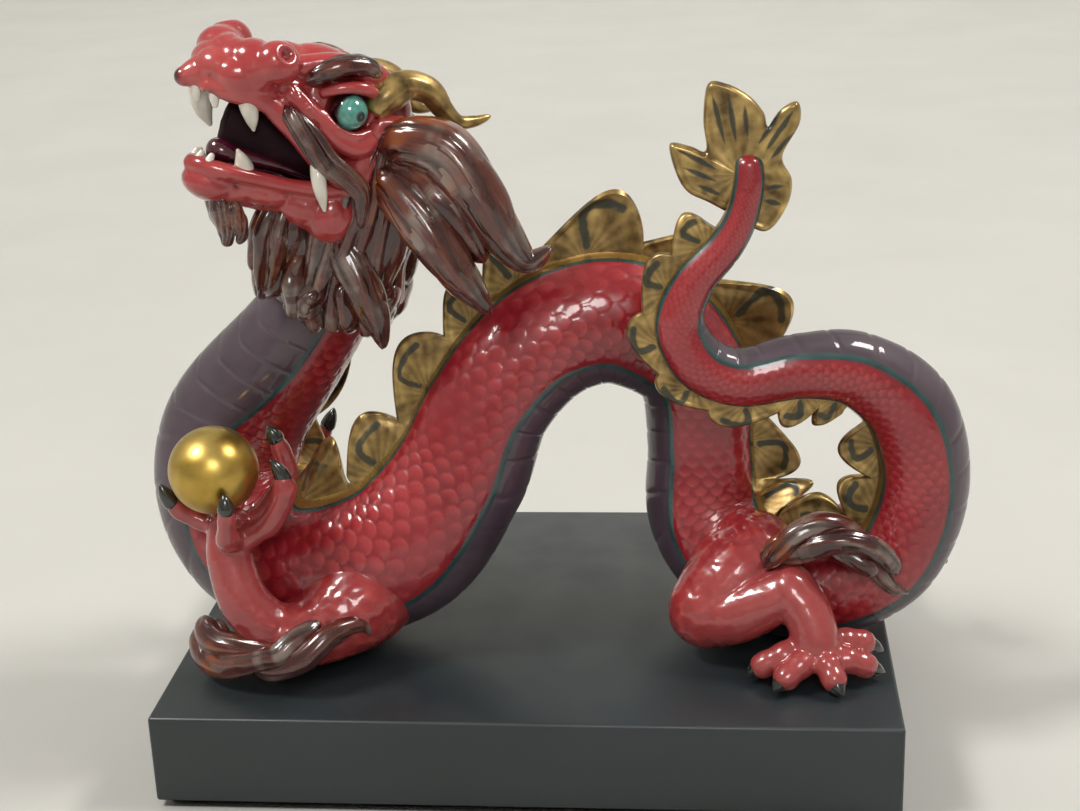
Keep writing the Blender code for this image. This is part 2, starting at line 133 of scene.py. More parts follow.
paper, shader = new_finish("pale_paper", 0.75)
paint_on(paper, shader, "Base Color",
         ramp(paper, cloud(paper, 6.0), (0.3, colour(229, 228, 224)), (0.7, colour(234, 233, 229))))
bpy.ops.object.select_all(action="DESELECT")
bpy.ops.mesh.primitive_plane_add(size=6.0, location=(0, 0, 0))
floor = bpy.context.object
floor.name = "paper_floor"
bpy.ops.object.mode_set(mode="EDIT")
mesh = bmesh.from_edit_mesh(floor.data)
for edge in mesh.edges:
    edge.select_set(all(vert.co.y > 2.9 for vert in edge.verts))
bmesh.update_edit_mesh(floor.data)
bpy.ops.mesh.extrude_region_move(TRANSFORM_OT_translate={"value": (0, 0.6, 0.25)})
bpy.ops.mesh.extrude_region_move(TRANSFORM_OT_translate={"value": (0, 0.25, 0.6)})
bpy.ops.mesh.extrude_region_move(TRANSFORM_OT_translate={"value": (0, 0.0, 3.0)})
bpy.ops.object.mode_set(mode="OBJECT")
bpy.ops.object.shade_smooth()
floor.data.materials.append(paper)

CAMERA_PLACE = (0.08598, -0.81, 0.44113)
CAMERA_RIGHT = Vector((0.99530, 0.09051, -0.03446))
CAMERA_UP = Vector((0.00172, 0.33925, 0.94069))
CAMERA_AHEAD = Vector((-0.09684, 0.93633, -0.33750))
camera_data = bpy.data.cameras.new("camera")
camera_data.lens = 61.02
camera_data.sensor_width = 36.0
camera = bpy.data.objects.new("camera", camera_data)
bpy.context.scene.collection.objects.link(camera)
turn = Matrix((CAMERA_RIGHT, CAMERA_UP, -CAMERA_AHEAD)).transposed().to_4x4()
camera.matrix_world = Matrix.Translation(CAMERA_PLACE) @ turn
bpy.context.scene.camera = camera


def soft_lamp(name, place, aim, width, depth, watts, tint):
    data = bpy.data.lights.new(name, "AREA")
    data.shape = "RECTANGLE"
    data.size = width
    data.size_y = depth
    data.energy = watts
    data.color = tint
    lamp = bpy.data.objects.new(name, data)
    bpy.context.scene.collection.objects.link(lamp)
    lamp.location = place
    lamp.rotation_euler = (Vector(aim) - Vector(place)).to_track_quat("-Z", "Y").to_euler()


soft_lamp("lamp_over_left", (-1.1, -0.5, 1.7), (0, 0, 0.15), 0.55, 0.4, 24, (1.0, 0.98, 0.94))
soft_lamp("lamp_over_right", (1.2, 0.1, 1.7), (0, 0, 0.15), 0.55, 0.4, 20, (1.0, 0.97, 0.93))
soft_lamp("lamp_front", (0.3, -1.7, 1.3), (0, 0, 0.1), 0.5, 0.5, 10, (1.0, 0.99, 0.97))
soft_lamp("lamp_wall", (0, 1.6, 2.6), (0, 3.9, 0.9), 3.0, 0.8, 30, (1.0, 0.99, 0.97))
sky = bpy.data.worlds.new("room")
sky.use_nodes = True
sky.node_tree.nodes["Background"].inputs["Color"].default_value = (0.86, 0.86, 0.87, 1)
sky.node_tree.nodes["Background"].inputs["Strength"].default_value = 1.06
bpy.context.scene.world = sky
bpy.context.scene.view_settings.view_transform = "Standard"

# Plinth block and its felt. A solid wood block in satin black lacquer, its arrises eased by hand,
# on a felt pad glued inside a shallow rebate so that the block seems to float off the table.
PLINTH_WIDTH = 330
PLINTH_DEPTH = 234
PLINTH_TOP = 45
FELT_HEIGHT = 3
FELT_INSET = 5
FELT_SLACK = 0.1


def settle(name, finish, body, nodes, smooth_to=40):
    """Names the active piece, fixes its place in its mesh, gives it its finish, hangs it on its body and
    hides the parts it stands for.
    """
    piece = bpy.context.object
    piece.name = name
    piece.data.name = name
    bpy.ops.object.transform_apply(location=True, rotation=True, scale=True)
    bpy.ops.object.shade_smooth_by_angle(angle=math.radians(smooth_to))
    piece.data.materials.clear()
    piece.data.materials.append(finish)
    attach(piece, body)
    if nodes:
        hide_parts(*nodes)
    return piece


lacquer, shader = new_finish("black_lacquer", 0.42, coat=0.25, coat_roughness=0.3)
specks = ramp(lacquer, cloud(lacquer, 900.0, 2.0), (0.70, (0, 0, 0, 1)), (0.76, (1, 1, 1, 1)))
drift = ramp(lacquer, cloud(lacquer, 9.0, 6.0), (0.3, colour(30, 37, 40)), (0.75, colour(39, 47, 51)))
paint_on(lacquer, shader, "Base Color", blend(lacquer, specks, drift, colour(52, 54, 56)))
paint_on(lacquer, shader, "Roughness", fade(lacquer, cloud(lacquer, 35.0, 5.0), -1.2, 2.6))
relief(lacquer, shader, cloud(lacquer, 260.0, 3.0), 0.05, 0.35)



def eased_block(inset, bottom, top, easing, segments):
    """A block as big as the plinth less an inset all round, with its edges eased."""
    size = (PLINTH_WIDTH - 2 * inset, PLINTH_DEPTH - 2 * inset, top - bottom)
    bpy.ops.object.select_all(action="DESELECT")
    bpy.ops.mesh.primitive_cube_add(size=1.0, location=(0, 0, (top + bottom) / 2 * MM))
    bpy.ops.object.mode_set(mode="EDIT")
    bpy.ops.transform.resize(value=[length * MM for length in size])
    bpy.ops.mesh.bevel(offset=easing * MM, segments=segments, affect="EDGES")
    bpy.ops.object.mode_set(mode="OBJECT")


eased_block(0, FELT_HEIGHT, PLINTH_TOP, 1.6, 4)
settle("plinth_block_lacquered", lacquer, "plinth", ["plinth_block"])

felt_cloth, shader = new_finish("felt", 0.95)
paint_on(felt_cloth, shader, "Base Color",
         ramp(felt_cloth, cloud(felt_cloth, 700.0, 5.0),
              (0.3, colour(14, 14, 15)), (0.7, colour(34, 34, 35))))
relief(felt_cloth, shader, cloud(felt_cloth, 1500.0, 4.0), 0.2, 0.8)
eased_block(FELT_INSET, 0, FELT_HEIGHT - FELT_SLACK, 0.8, 2)
settle("plinth_felt_pad", felt_cloth, "plinth", ["plinth_felt"])

# The body, eleven hollow castings joined end to end under the glaze. Each one is a bend of the
# same tapering tube, modelled with fish scales on its flanks and broad plates on its belly, then
# painted crimson and mauve with a teal line between them and fired.
FRONT = Vector((0, -1, 0))
BODY = np.array([
    (-81, -12, 223, 22, 23, 50), (-114, -2, 181, 28, 29, 50), (-143, 0, 144, 32, 35, 34),
    (-150, -8, 115, 32, 35, 20), (-136, -21, 91, 32, 36, 8), (-104, -34, 81, 32, 35.5, 2),
    (-61, -37, 95, 33, 37, 0), (-34, -31, 127, 30, 33, 0), (-18, -24, 161, 28, 30, 0),
    (5, -14, 186, 29, 31, 0), (32, -6, 195, 30, 32, 0), (56, -2, 188, 30, 32, 0),
    (75, 0, 166, 27, 28, 0), (78, -2, 132, 26, 26, 0), (80, -8, 98, 27, 28, 0),
    (100, -20, 76.5, 27, 28.5, 0), (133, -30, 71, 24, 25, 0), (165, -30, 86.5, 24, 22.5, 0),
    (178.5, -26, 120, 23, 21.5, 0), (171.5, -27, 155.5, 21.5, 21, 0), (149, -33, 177, 17, 18, 0),
    (123, -41, 182, 14.5, 15.5, 0), (96, -47, 179, 13.5, 14, 0), (78, -50, 187, 13, 13.5, 0),
    (69, -52, 205, 11.5, 12, 0), (75, -52, 224, 10, 10.5, 0), (88.5, -51, 239.5, 8.7, 9.2, 0),
    (95.5, -50.5, 252, 7.8, 8.2, 0), (98.8, -49.5, 266, 7.3, 7.7, 0),
    (98.5, -48.5, 278.5, 6.2, 6.6, 0)], dtype=float)
TAIL_END = len(BODY) - 1
SKIN_SPACING = 0.76
SIDES_LIMIT = 252
SKIN_INSET = 1.05
BELLY_HALF_ANGLE = math.radians(58)
TAIL_BELLY = ([20.5, 23.0, 24.6], [BELLY_HALF_ANGLE, 0.8, 0.45])
RIDGE_HALF_ANGLES = ([8, 30], [0.62, 0.36])
LINE_HALF_WIDTH = 1.5
SCALES_ROUND = 21
SCALE_LIFT = 0.62
PLATE_LENGTH = 15.0
PLATE_LIFT = 0.4


def row_at(rows, place):
    """The rows' value at a place, on a smooth curve through them; whole numbers are the rows."""
    last = len(rows) - 1
    first = max(0, min(int(place), last - 1))
    u = place - first
    a = rows[first]
    b = rows[first + 1]
    before = rows[first - 1] if first > 0 else 2 * a - b
    after = rows[first + 2] if first + 2 <= last else 2 * b - a
    curve = 3 * a - before - 3 * b + after
    return 0.5 * (2 * a + (b - before) * u + (2 * before - 5 * a + 4 * b - after) * u * u + curve * u ** 3)


def section(rows, place, towards=FRONT):
    """Centre, travel, side, back, half depth and half height of the tube at a place."""
    row = row_at(rows, place)
    ahead = row_at(rows, min(place + 0.05, len(rows) - 1))
    behind = row_at(rows, max(place - 0.05, 0))
    travel = Vector(ahead[:3] - behind[:3]).normalized()
    side = (towards - travel * towards.dot(travel)).normalized()
    back = side.cross(travel)
    turned = math.radians(row[5]) if len(row) > 5 else 0.0
    turned_side = side * math.cos(turned) + back * math.sin(turned)
    turned_back = back * math.cos(turned) - side * math.sin(turned)
    half_height = row[4] if len(row) > 4 else row[3]
    return Vector(row[:3]), travel, turned_side, turned_back, row[3], half_height


def fish_scales(across, along):
    """Height from 0 to 1 of overlapping scales, one wide in across and one row long in along."""
    row = np.floor(along)
    height = np.zeros_like(across)
    covered = np.zeros(across.shape, dtype=bool)
    for step in (-1, 0, 1):
        scale_row = row + step
        x = across - 0.5 * np.mod(scale_row, 2)
        x = x - np.round(x)
        y = along - scale_row
        reach = 0.5 + 1.02 * np.sqrt(np.clip(1 - 4 * x * x, 0, 1))
        fresh = (y < reach) & ~covered
        edge = np.clip((reach - y) / 0.2, 0, 1)
        lift = np.clip((y + 0.5) / 2.0, 0, 1) ** 0.8 * (1 - 0.5 * x * x) * np.sqrt(edge * (2 - edge))
        height[fresh] = lift[fresh]
        covered |= fresh
    return height


def stand_alone(name, mesh):
    """Puts a mesh in the scene as the only selected piece."""
    piece = bpy.data.objects.new(name, mesh)
    bpy.context.scene.collection.objects.link(piece)
    bpy.ops.object.select_all(action="DESELECT")
    bpy.context.view_layer.objects.active = piece
    piece.select_set(True)
    return piece


def skin(name, grid, finish, nodes, numbers=None, smooth_to=70):
    """A closed piece from rings of points in millimetres, with the numbers its paint needs."""
    grid = np.asarray(grid, dtype=float)
    rings, sides = grid.shape[:2]
    points = grid.reshape(-1, 3)
    ring = np.arange(rings - 1)[:, None] * sides
    side = np.arange(sides)[None, :]
    onward = (side + 1) % sides
    faces = np.stack([ring + side, ring + onward, ring + sides + onward, ring + sides + side], -1)
    faces = faces.reshape(-1, 4).tolist()
    values = {key: np.asarray(value, dtype=float).reshape(-1) for key, value in (numbers or {}).items()}
    ends = np.array([grid[0].mean(0), grid[-1].mean(0)])
    count = len(points)
    points = np.concatenate([points, ends])
    for k in range(sides):
        n = (k + 1) % sides
        faces.append([k, count, n])
        faces.append([count - sides + k, count - sides + n, count + 1])
    for key in values:
        shaped = values[key].reshape(rings, sides)
        values[key] = np.concatenate([values[key], [shaped[0].mean(), shaped[-1].mean()]])
    mesh = bpy.data.meshes.new(name)
    mesh.from_pydata((points * MM).tolist(), [], faces)
    for key, value in values.items():
        layer = mesh.attributes.new(key, "FLOAT", "POINT")
        layer.data.foreach_set("value", value.astype(np.float32))
    stand_alone(name, mesh)
    shape = bmesh.new()
    shape.from_mesh(mesh)
    bmesh.ops.recalc_face_normals(shape, faces=shape.faces[:])
    if shape.calc_volume(signed=True) < 0:
        bmesh.ops.reverse_faces(shape, faces=shape.faces[:])
    shape.to_mesh(mesh)
    shape.free()
    return settle(name, finish, "dragon", nodes, smooth_to)


LENGTHS = [0.0]
for tick in range(1, 20 * (len(BODY) - 1) + 1):
    step_ahead = row_at(BODY, tick / 20)[:3] - row_at(BODY, (tick - 1) / 20)[:3]
    LENGTHS.append(LENGTHS[-1] + float(np.linalg.norm(step_ahead)))
ROW_COUNTS = [0.0]
for tick in range(1, len(LENGTHS)):
    girth = row_at(BODY, tick / 20)[3:5].sum() * math.pi
    ROW_COUNTS.append(ROW_COUNTS[-1] + (LENGTHS[tick] - LENGTHS[tick - 1]) / (girth / SCALES_ROUND * 0.62))


def ripple(points, size, seed=0.0):
    """A slow, smooth unevenness of a hand-pressed surface, from -1 to 1."""
    x, y, z = [points[..., axis] / size + seed for axis in range(3)]
    return (np.sin(x + 1.7 * np.sin(y * 0.8)) + np.sin(1.3 * y + 1.1 * np.sin(z * 1.2))
            + np.sin(1.1 * z + 1.4 * np.sin(x * 0.9))) / 3


def casting(name, first, last, nodes):
    """One bend of the body with its scales, belly plates and the measures its glaze needs."""
    length = np.interp([first * 20, last * 20], range(len(LENGTHS)), LENGTHS)
    middle = row_at(BODY, (first + last) / 2)
    sides = int(min(SIDES_LIMIT, middle[3:5].sum() * math.pi / SKIN_SPACING))
    rings = int((length[1] - length[0]) / SKIN_SPACING)
    angles = np.arange(sides) / sides * 2 * math.pi
    off_belly = np.abs((angles - 1.5 * math.pi + math.pi) % (2 * math.pi) - math.pi)
    off_back = np.abs((angles - 0.5 * math.pi + math.pi) % (2 * math.pi) - math.pi)
    grid, belly, line, scales, ridges = [], [], [], [], []
    for step in range(rings + 1):
        place = first + (last - first) * step / rings
        centre, _, side, back, half_side, half_back = section(BODY, place)
        radius = (half_side + half_back) / 2
        run = np.interp(place * 20, range(len(LENGTHS)), LENGTHS)
        row = np.interp(place * 20, range(len(LENGTHS)), ROW_COUNTS)
        belly_half = np.interp(place, *TAIL_BELLY)
        border = (off_belly - belly_half) * radius
        ridge = (off_back - np.interp(radius, *RIDGE_HALF_ANGLES)) * radius
        across = angles / (2 * math.pi) * SCALES_ROUND
        scale = fish_scales(across, np.full(sides, row))
        faded = np.clip((border - 1.5) / 2.5, 0, 1) * np.clip((ridge - 0.5) / 2.5, 0, 1)
        plate = np.abs((run / PLATE_LENGTH + 0.012 * border) % 1.0 - 0.5) * PLATE_LENGTH
        plate = np.clip(-border / 4, 0, 1) * (1 - np.exp(-(plate / 0.8) ** 2))
        welt = np.exp(-(border / 1.5) ** 2) * 0.25 + np.exp(-(ridge / 1.5) ** 2) * 0.25
        size = min(1.0, radius / 30) ** 1.2
        rounding = math.sqrt(1 - (1 - min(1.0, (TAIL_END - place) / 0.4 + 0.02)) ** 2)
        out_side = np.cos(angles)[:, None] * np.array(side)
        out_back = np.sin(angles)[:, None] * np.array(back)
        points = np.array(centre) + out_side * half_side + out_back * half_back
        worn = 0.78 + 0.22 * ripple(points, 11.0, 2.0)
        lift = scale * SCALE_LIFT * size * faded * worn + plate * PLATE_LIFT + welt
        outward = out_side / half_side + out_back / half_back
        outward /= np.linalg.norm(outward, axis=1)[:, None]
        points = points + outward * (lift - SKIN_INSET + 0.3 * ripple(points, 9.0))[:, None]
        points = np.array(centre) + (points - np.array(centre)) * rounding
        grid.append(points)
        belly.append(border)
        line.append(np.minimum(np.abs(border), np.abs(ridge)))
        ridges.append(ridge)
        scales.append(scale * faded * worn)
    numbers = {"belly": belly, "line": line, "scale": scales, "ridge": ridges}
    return skin(name, grid, red_glaze, nodes, numbers)


red_glaze, shader = new_finish("red_glaze", 0.3, coat=0.7, coat_roughness=0.05)
shader.inputs["Specular IOR Level"].default_value = 0.5
shader.inputs["Subsurface Weight"].default_value = 0.0
red = ramp(red_glaze, cloud(red_glaze, 24.0, 5.0, distortion=0.6), (0.25, colour(112, 15, 26)),
           (0.5, colour(134, 23, 34)), (0.78, colour(152, 36, 43)))
# Painted light on the scales: their crests are lighter, from the glaze running thin there and a painted
# highlight, and where the scales sink low or fade out the red is darkened with painted shade.
scale = measured(red_glaze, "scale")
red = blend(red_glaze, sums(red_glaze, "MULTIPLY", fade(red_glaze, scale, 0.4, 0.8), 0.8),
            red, colour(170, 54, 58))
red = blend(red_glaze, sums(red_glaze, "MULTIPLY", fade(red_glaze, scale, 0.2, 0.02), 0.4),
            red, colour(100, 10, 26))
mauve = ramp(red_glaze, cloud(red_glaze, 30.0, 6.0, distortion=0.8), (0.28, colour(56, 40, 52)),
             (0.72, colour(78, 62, 74)))
belly = measured(red_glaze, "belly")
wobble = sums(red_glaze, "MULTIPLY_ADD", cloud(red_glaze, 60.0, 3.0), 1.6, -0.8)
is_belly = fade(red_glaze, sums(red_glaze, "ADD", belly, wobble), 0.35, -0.35)
body_paint = blend(red_glaze, is_belly, red, mauve)
line = sums(red_glaze, "ADD", measured(red_glaze, "line"), sums(red_glaze, "MULTIPLY", wobble, 0.35))
is_line = fade(red_glaze, line, LINE_HALF_WIDTH + 0.3, LINE_HALF_WIDTH - 0.3)
teal = ramp(red_glaze, cloud(red_glaze, 90.0, 4.0), (0.3, colour(20, 46, 48)), (0.7, colour(38, 72, 72)))
is_gilt = fade(red_glaze, measured(red_glaze, "ridge"), -0.6, -1.2)
body_paint = blend(red_glaze, is_gilt, body_paint, colour(158, 126, 66))
body_paint = blend(red_glaze, is_line, body_paint, teal)
paint_on(red_glaze, shader, "Metallic", sums(red_glaze, "MULTIPLY", is_gilt, 0.75))
paint_on(red_glaze, shader, "Base Color", body_paint)
paint_on(red_glaze, shader, "Roughness",
         sums(red_glaze, "MULTIPLY_ADD", is_belly, 0.3,
              sums(red_glaze, "MULTIPLY_ADD", cloud(red_glaze, 50.0, 4.0), 0.2, 0.18)))
relief(red_glaze, shader, cloud(red_glaze, 420.0, 3.0), 0.05, 0.3)

CASTINGS = [("neck", 0.35, 2.7), ("breast", 2.7, 4.4), ("shoulder_body", 4.4, 6.2),
            ("rising_body", 6.2, 9.0), ("arch_body", 9.0, 11.8), ("hind_body", 11.8, 14.2),
            ("haunch_body", 14.2, 16.0), ("loop_body", 16.0, 18.4), ("tail_root", 18.4, 20.8),
            ("tail_bridge", 20.8, 23.2), ("tail_tip", 23.2, TAIL_END)]
for name, first, last in CASTINGS:
    casting(name + "_glazed", first, last, [name])

# Dorsal crests, seven thin castings that stand along the back. Each lobe is a curled leaf with a
# rounded rim, gilded over a brown wash, darkened with painted shade away from the rim, and marked
# with one hooked stroke of dark green.
CRESTS = {
    "neck_crest": [(0.8, 1.7, 16, 4), (1.7, 2.6, 17, 4), (2.6, 3.7, 14, 2), (3.7, 5.8, 23, -2)],
    "rising_crest": [(5.9, 7.35, 18, 4), (7.35, 8.3, 20, 4), (8.3, 8.8, 17, 3)],
    "arch_crest": [(8.85, 9.4, 27, 3), (9.4, 10.45, 30, 8), (10.45, 11.2, 22, 4)],
    "hind_crest": [(11.25, 12.1, 30, 1), (12.1, 12.65, 13, 3), (12.65, 13.5, 20, 4), (13.5, 15.0, 23, 3)],
    "loop_crest": [(15.1, 16.9, 16, 0), (16.9, 18.1, 15, 1), (18.1, 19.3, 14, 1)],
    "bridge_crest": [(19.9, 20.7, 12, 3), (20.7, 21.5, 12, 3), (21.5, 22.4, 12, 3)],
    "tail_crest": [(22.4, 23.3, 11, 3), (23.3, 24.2, 13, 3), (24.2, 25.2, 12, 3), (25.2, 26.3, 13, 3)]}
CREST_VALLEY = 4.5
CREST_ROOT_HALF = 2.5
CREST_RIM_HALF = 1.5
HOOK = [(0.46, 0.14), (0.4, 0.36), (0.37, 0.6), (0.44, 0.7), (0.6, 0.7), (0.74, 0.62)]


def off_stroke(x, y, points, taper=0.0):
    """How far each place is from a brush stroke through the points, thinner at its ends by taper."""
    nearest = np.full(np.shape(x), 1e3)
    for (ax, ay), (bx, by) in zip(points, points[1:]):
        length = (bx - ax) ** 2 + (by - ay) ** 2
        share = np.clip(((x - ax) * (bx - ax) + (y - ay) * (by - ay)) / length, 0, 1)
        away = np.hypot(x - ax - share * (bx - ax), y - ay - share * (by - ay))
        nearest = np.minimum(nearest, away + taper * (2 * share - 1) ** 2)
    return nearest


def uneven_shine(finish, shader, scale, detail, spread, least):
    """Roughness that wanders over the surface, from least upwards."""
    wander = cloud(finish, scale, detail)
    paint_on(finish, shader, "Roughness", sums(finish, "MULTIPLY_ADD", wander, spread, least))


gilding, shader = new_finish("gilding", 0.34, metallic=0.9, coat=0.25, coat_roughness=0.12)
stroke = sums(gilding, "ADD", measured(gilding, "stroke"),
              sums(gilding, "MULTIPLY_ADD", cloud(gilding, 130.0, 4.0), 1.7, -0.85))
fan = measured(gilding, "fan")
brushed = sums(gilding, "ADD", sums(gilding, "MULTIPLY", cloud(gilding, 110.0, 6.0), 0.75),
               sums(gilding, "MULTIPLY", sums(gilding, "SINE", sums(gilding, "MULTIPLY", fan, 21.0)), 0.04))
gold = ramp(gilding, brushed, (0.22, colour(96, 76, 46)), (0.38, colour(160, 134, 84)),
            (0.6, colour(220, 188, 118)))
# Painted shade: away from the rim of a crest or fin, and in the grooves of the horns, the gold is darkened
# to brown over the brown wash.
gilt_shade = fade(gilding, measured(gilding, "edge"), 5.0, 10.5)
gold = blend(gilding, sums(gilding, "MULTIPLY", gilt_shade, 0.3), gold, colour(104, 76, 36))
is_stroke = sums(gilding, "MULTIPLY", fade(gilding, stroke, 1.8, 0.9), 0.9)
gold = blend(gilding, is_stroke, gold, colour(26, 38, 32))
paint_on(gilding, shader, "Base Color", gold)
paint_on(gilding, shader, "Metallic", sums(gilding, "MULTIPLY_ADD", is_stroke, -0.7, 0.78))
uneven_shine(gilding, shader, 70.0, 5.0, 0.35, 0.16)
relief(gilding, shader, cloud(gilding, 300.0, 5.0), 0.12, 0.6)

for name, lobes in CRESTS.items():
    grid, strokes, edges, fans = [], [], [], []
    climb = 1 - np.linspace(1, 0, 11) ** 1.25
    up_share = np.concatenate([climb, climb[::-1][1:]])
    near = np.concatenate([np.ones(11), -np.ones(10)])
    for number, (first, last, height, lean) in enumerate(lobes):
        _, travel, _, back, _, _ = section(BODY, (first + last) / 2)
        ends = []
        for place in (first, last):
            centre, _, _, end_back, _, half_back = section(BODY, place)
            ends.append(np.array(centre + end_back * (half_back + CREST_VALLEY)))
        width = float(np.linalg.norm(ends[1] - ends[0]))
        steps = max(14, int(width / 0.9))
        for step in range(steps + 1):
            if step == 0 and number > 0:
                continue
            share = step / steps
            centre, _, side, root_back, _, half_back = section(BODY, first + (last - first) * share)
            root = np.array(centre + root_back * (half_back - 1.5))
            swell = max(0.0, math.sin(math.pi * share ** 1.4)) ** 0.7
            rise = (np.array(back) * (height - CREST_VALLEY) + np.array(travel) * lean) * swell
            rim = ends[0] * (1 - share) + ends[1] * share + rise
            tall = float(np.linalg.norm(rim - root))
            half = CREST_ROOT_HALF + (CREST_RIM_HALF - CREST_ROOT_HALF) * up_share
            from_rim = (1 - up_share) * tall
            half = half + 0.5 * np.exp(-((from_rim - 1.8) / 1.2) ** 2)
            half = half - 0.7 * np.exp(-((from_rim - 5.5) / 3.0) ** 2) * swell
            half = half * np.sqrt(np.clip(from_rim / 1.8, 0, 1) * (2 - np.clip(from_rim / 1.8, 0, 1)))
            turn_of_fan = np.arctan2((share - 0.45) * width, up_share * tall + 3)
            half = half * (1 + 0.02 * np.sin(turn_of_fan * 24))
            curl = math.sin(2 * math.pi * share) * 0.9 * up_share ** 2
            points = root + (rim - root) * up_share[:, None] + np.array(side) * (near * half + curl)[:, None]
            grid.append(points)
            hook = [(x * width, y * height) for x, y in HOOK]
            away = off_stroke(np.full(21, share * width), up_share * tall * 0.92, hook)
            strokes.append(away * 20 / max(20, height))
            edges.append(from_rim)
            fans.append(turn_of_fan)
    skin(name + "_gilt", grid, gilding, [name], {"stroke": strokes, "edge": edges, "fan": fans},
         smooth_to=60)

# Tail fin, a flat flame of gilt tongues cast round the tail's tip. Every tongue is dished between
# a raised rim, with dark green brush strokes that run from its tip towards the tail.
FIN_CENTRE = (95.0, 270.0)
FIN_MIDDLE_Y = -48.0
FIN_OUTLINE = [(92, 252), (82, 258), (73, 263), (68, 272), (66, 283), (74, 282), (81, 280), (80, 293),
               (82, 308), (90, 308), (99, 303), (105, 296), (107, 290), (112, 297), (119, 300), (120, 291),
               (113, 277), (117, 267), (115, 256), (106, 245)]
FIN_STROKES = [[(83.5, 305), (89, 283)], [(90, 306), (93.5, 284)], [(97, 301), (98.5, 285)],
               [(69, 281), (86, 272)], [(71, 273.5), (86, 267)], [(77, 266), (88, 261)],
               [(112.5, 297), (103, 283)], [(117.5, 297), (105.5, 279)], [(118, 288), (107, 275)],
               [(115, 265), (106, 264)], [(113, 257), (105, 259)]]

outline = np.array(FIN_OUTLINE, dtype=float)
closed = np.concatenate([outline[-1:], outline, outline[:2]])
rim_points = []
for place in np.arange(0, len(outline), 1 / 14):
    a, b, c, d = closed[int(place):int(place) + 4]
    u = place % 1
    rim_points.append(0.5 * (2 * b + (c - a) * u + (2 * a - 5 * b + 4 * c - d) * u * u
                             + (3 * b - a - 3 * c + d) * u ** 3))
rim_points = np.array(rim_points)
grid, strokes, edges, fans = [], [], [], []
out_shares = np.linspace(0.02, 1, 30) ** 0.8
for near, shares in ((1, out_shares), (-1, out_shares[::-1][1:])):
    for share in shares:
        flat = np.array(FIN_CENTRE) + (rim_points - np.array(FIN_CENTRE)) * share
        inside = np.min(np.linalg.norm(flat[:, None, :] - rim_points[None, ::2, :], axis=2), axis=1)
        inside = inside if share < 1 else np.zeros(len(flat))
        half = 1.55 + 0.9 * np.exp(-((inside - 1.9) / 1.3) ** 2) + 1.0 * np.clip(1 - share * 1.6, 0, 1)
        half = half * np.sqrt(np.clip(inside / 1.7, 0, 1) * (2 - np.clip(inside / 1.7, 0, 1)))
        away = np.min([off_stroke(flat[:, 0], flat[:, 1], mark, 1.2) for mark in FIN_STROKES], axis=0)
        half = half - 0.25 * np.exp(-(away / 1.2) ** 2) * (inside > 2)
        turn_of_fan = np.arctan2(flat[:, 1] - FIN_CENTRE[1], flat[:, 0] - FIN_CENTRE[0])
        curl = 2.2 * np.sin(turn_of_fan * 3 + 0.6) * share ** 2
        grid.append(np.stack([flat[:, 0], FIN_MIDDLE_Y - near * half + curl * 0.5, flat[:, 1]], -1))
        strokes.append(away + 0.25)
        edges.append(inside * 0.6)
        fans.append(turn_of_fan * 0.8)
skin("tail_fin_gilt", grid, gilding, ["tail_fin"],
     {"stroke": strokes, "edge": edges, "fan": fans})

# The pearl, a hollow porcelain ball in satin gold that is stuck between the fingers of the near
# hand. It is turned smooth and polished less than the crests, so its shine is broad.
BALL_RADIUS = 20
BALL_CENTRE = Vector((-137, -72, 145))

ball_gold, shader = new_finish("ball_gold", 0.36, metallic=0.95, coat=0.15, coat_roughness=0.25)
paint_on(ball_gold, shader, "Base Color",
         ramp(ball_gold, cloud(ball_gold, 40.0, 6.0, distortion=1.0), (0.3, colour(178, 144, 62)),
              (0.5, colour(196, 164, 82)), (0.75, colour(212, 186, 112))))
uneven_shine(ball_gold, shader, 90.0, 6.0, 0.3, 0.2)
relief(ball_gold, shader, cloud(ball_gold, 160.0, 4.0), 0.1, 0.3)
bpy.ops.object.select_all(action="DESELECT")
bpy.ops.mesh.primitive_ico_sphere_add(subdivisions=5, radius=BALL_RADIUS * MM, location=BALL_CENTRE * MM)
bpy.ops.object.mode_set(mode="EDIT")
bpy.ops.mesh.vertices_smooth(factor=0.4, repeat=1)
bpy.ops.transform.resize(value=(1.0, 1.0, 0.985))
bpy.ops.object.mode_set(mode="OBJECT")
settle("pearl_gilt", ball_gold, "dragon", ["pearl"], smooth_to=180)

# The four limbs, pressed in their own moulds and luted to the body before firing: plump upper
# parts, smooth forearms and shins, and knuckled fingers and toes, all in the same red glaze.


def rod(shape, rows, sides=22, spacing=1.6, towards=FRONT, rounded=True):
    """Adds a round-ended tube along rows of place and radius to the shape, in millimetres."""
    rows = np.array(rows, dtype=float)
    spans = len(rows) - 1
    length = float(np.linalg.norm(np.diff(rows[:, :3], axis=0), axis=1).sum())
    rings = max(6, int(length / spacing))
    angles = [2 * math.pi * k / sides for k in range(sides)]
    previous = None
    for ring in range(rings + 1):
        centre, _, side, back, half_side, half_back = section(rows, spans * ring / rings, towards)
        loop = [shape.verts.new(centre + side * half_side * math.cos(a) + back * half_back * math.sin(a))
                for a in angles]
        if previous is None:
            shape.faces.new(loop)
        else:
            for k in range(sides):
                n = (k + 1) % sides
                shape.faces.new((previous[k], previous[n], loop[n], loop[k]))
        previous = loop
    shape.faces.new(previous[::-1])
    for row in (rows[0], rows[-1]) if rounded else ():
        lump(shape, row[:3], (row[3],) * 3)


def lump(shape, place, radii, turned=None):
    """Adds an egg of clay."""
    turned = turned or Matrix.Identity(4)
    place = Matrix.Translation(place) @ turned @ Matrix.Diagonal((*radii, 1.0))
    bmesh.ops.create_icosphere(shape, subdivisions=3, radius=1.0, matrix=place)


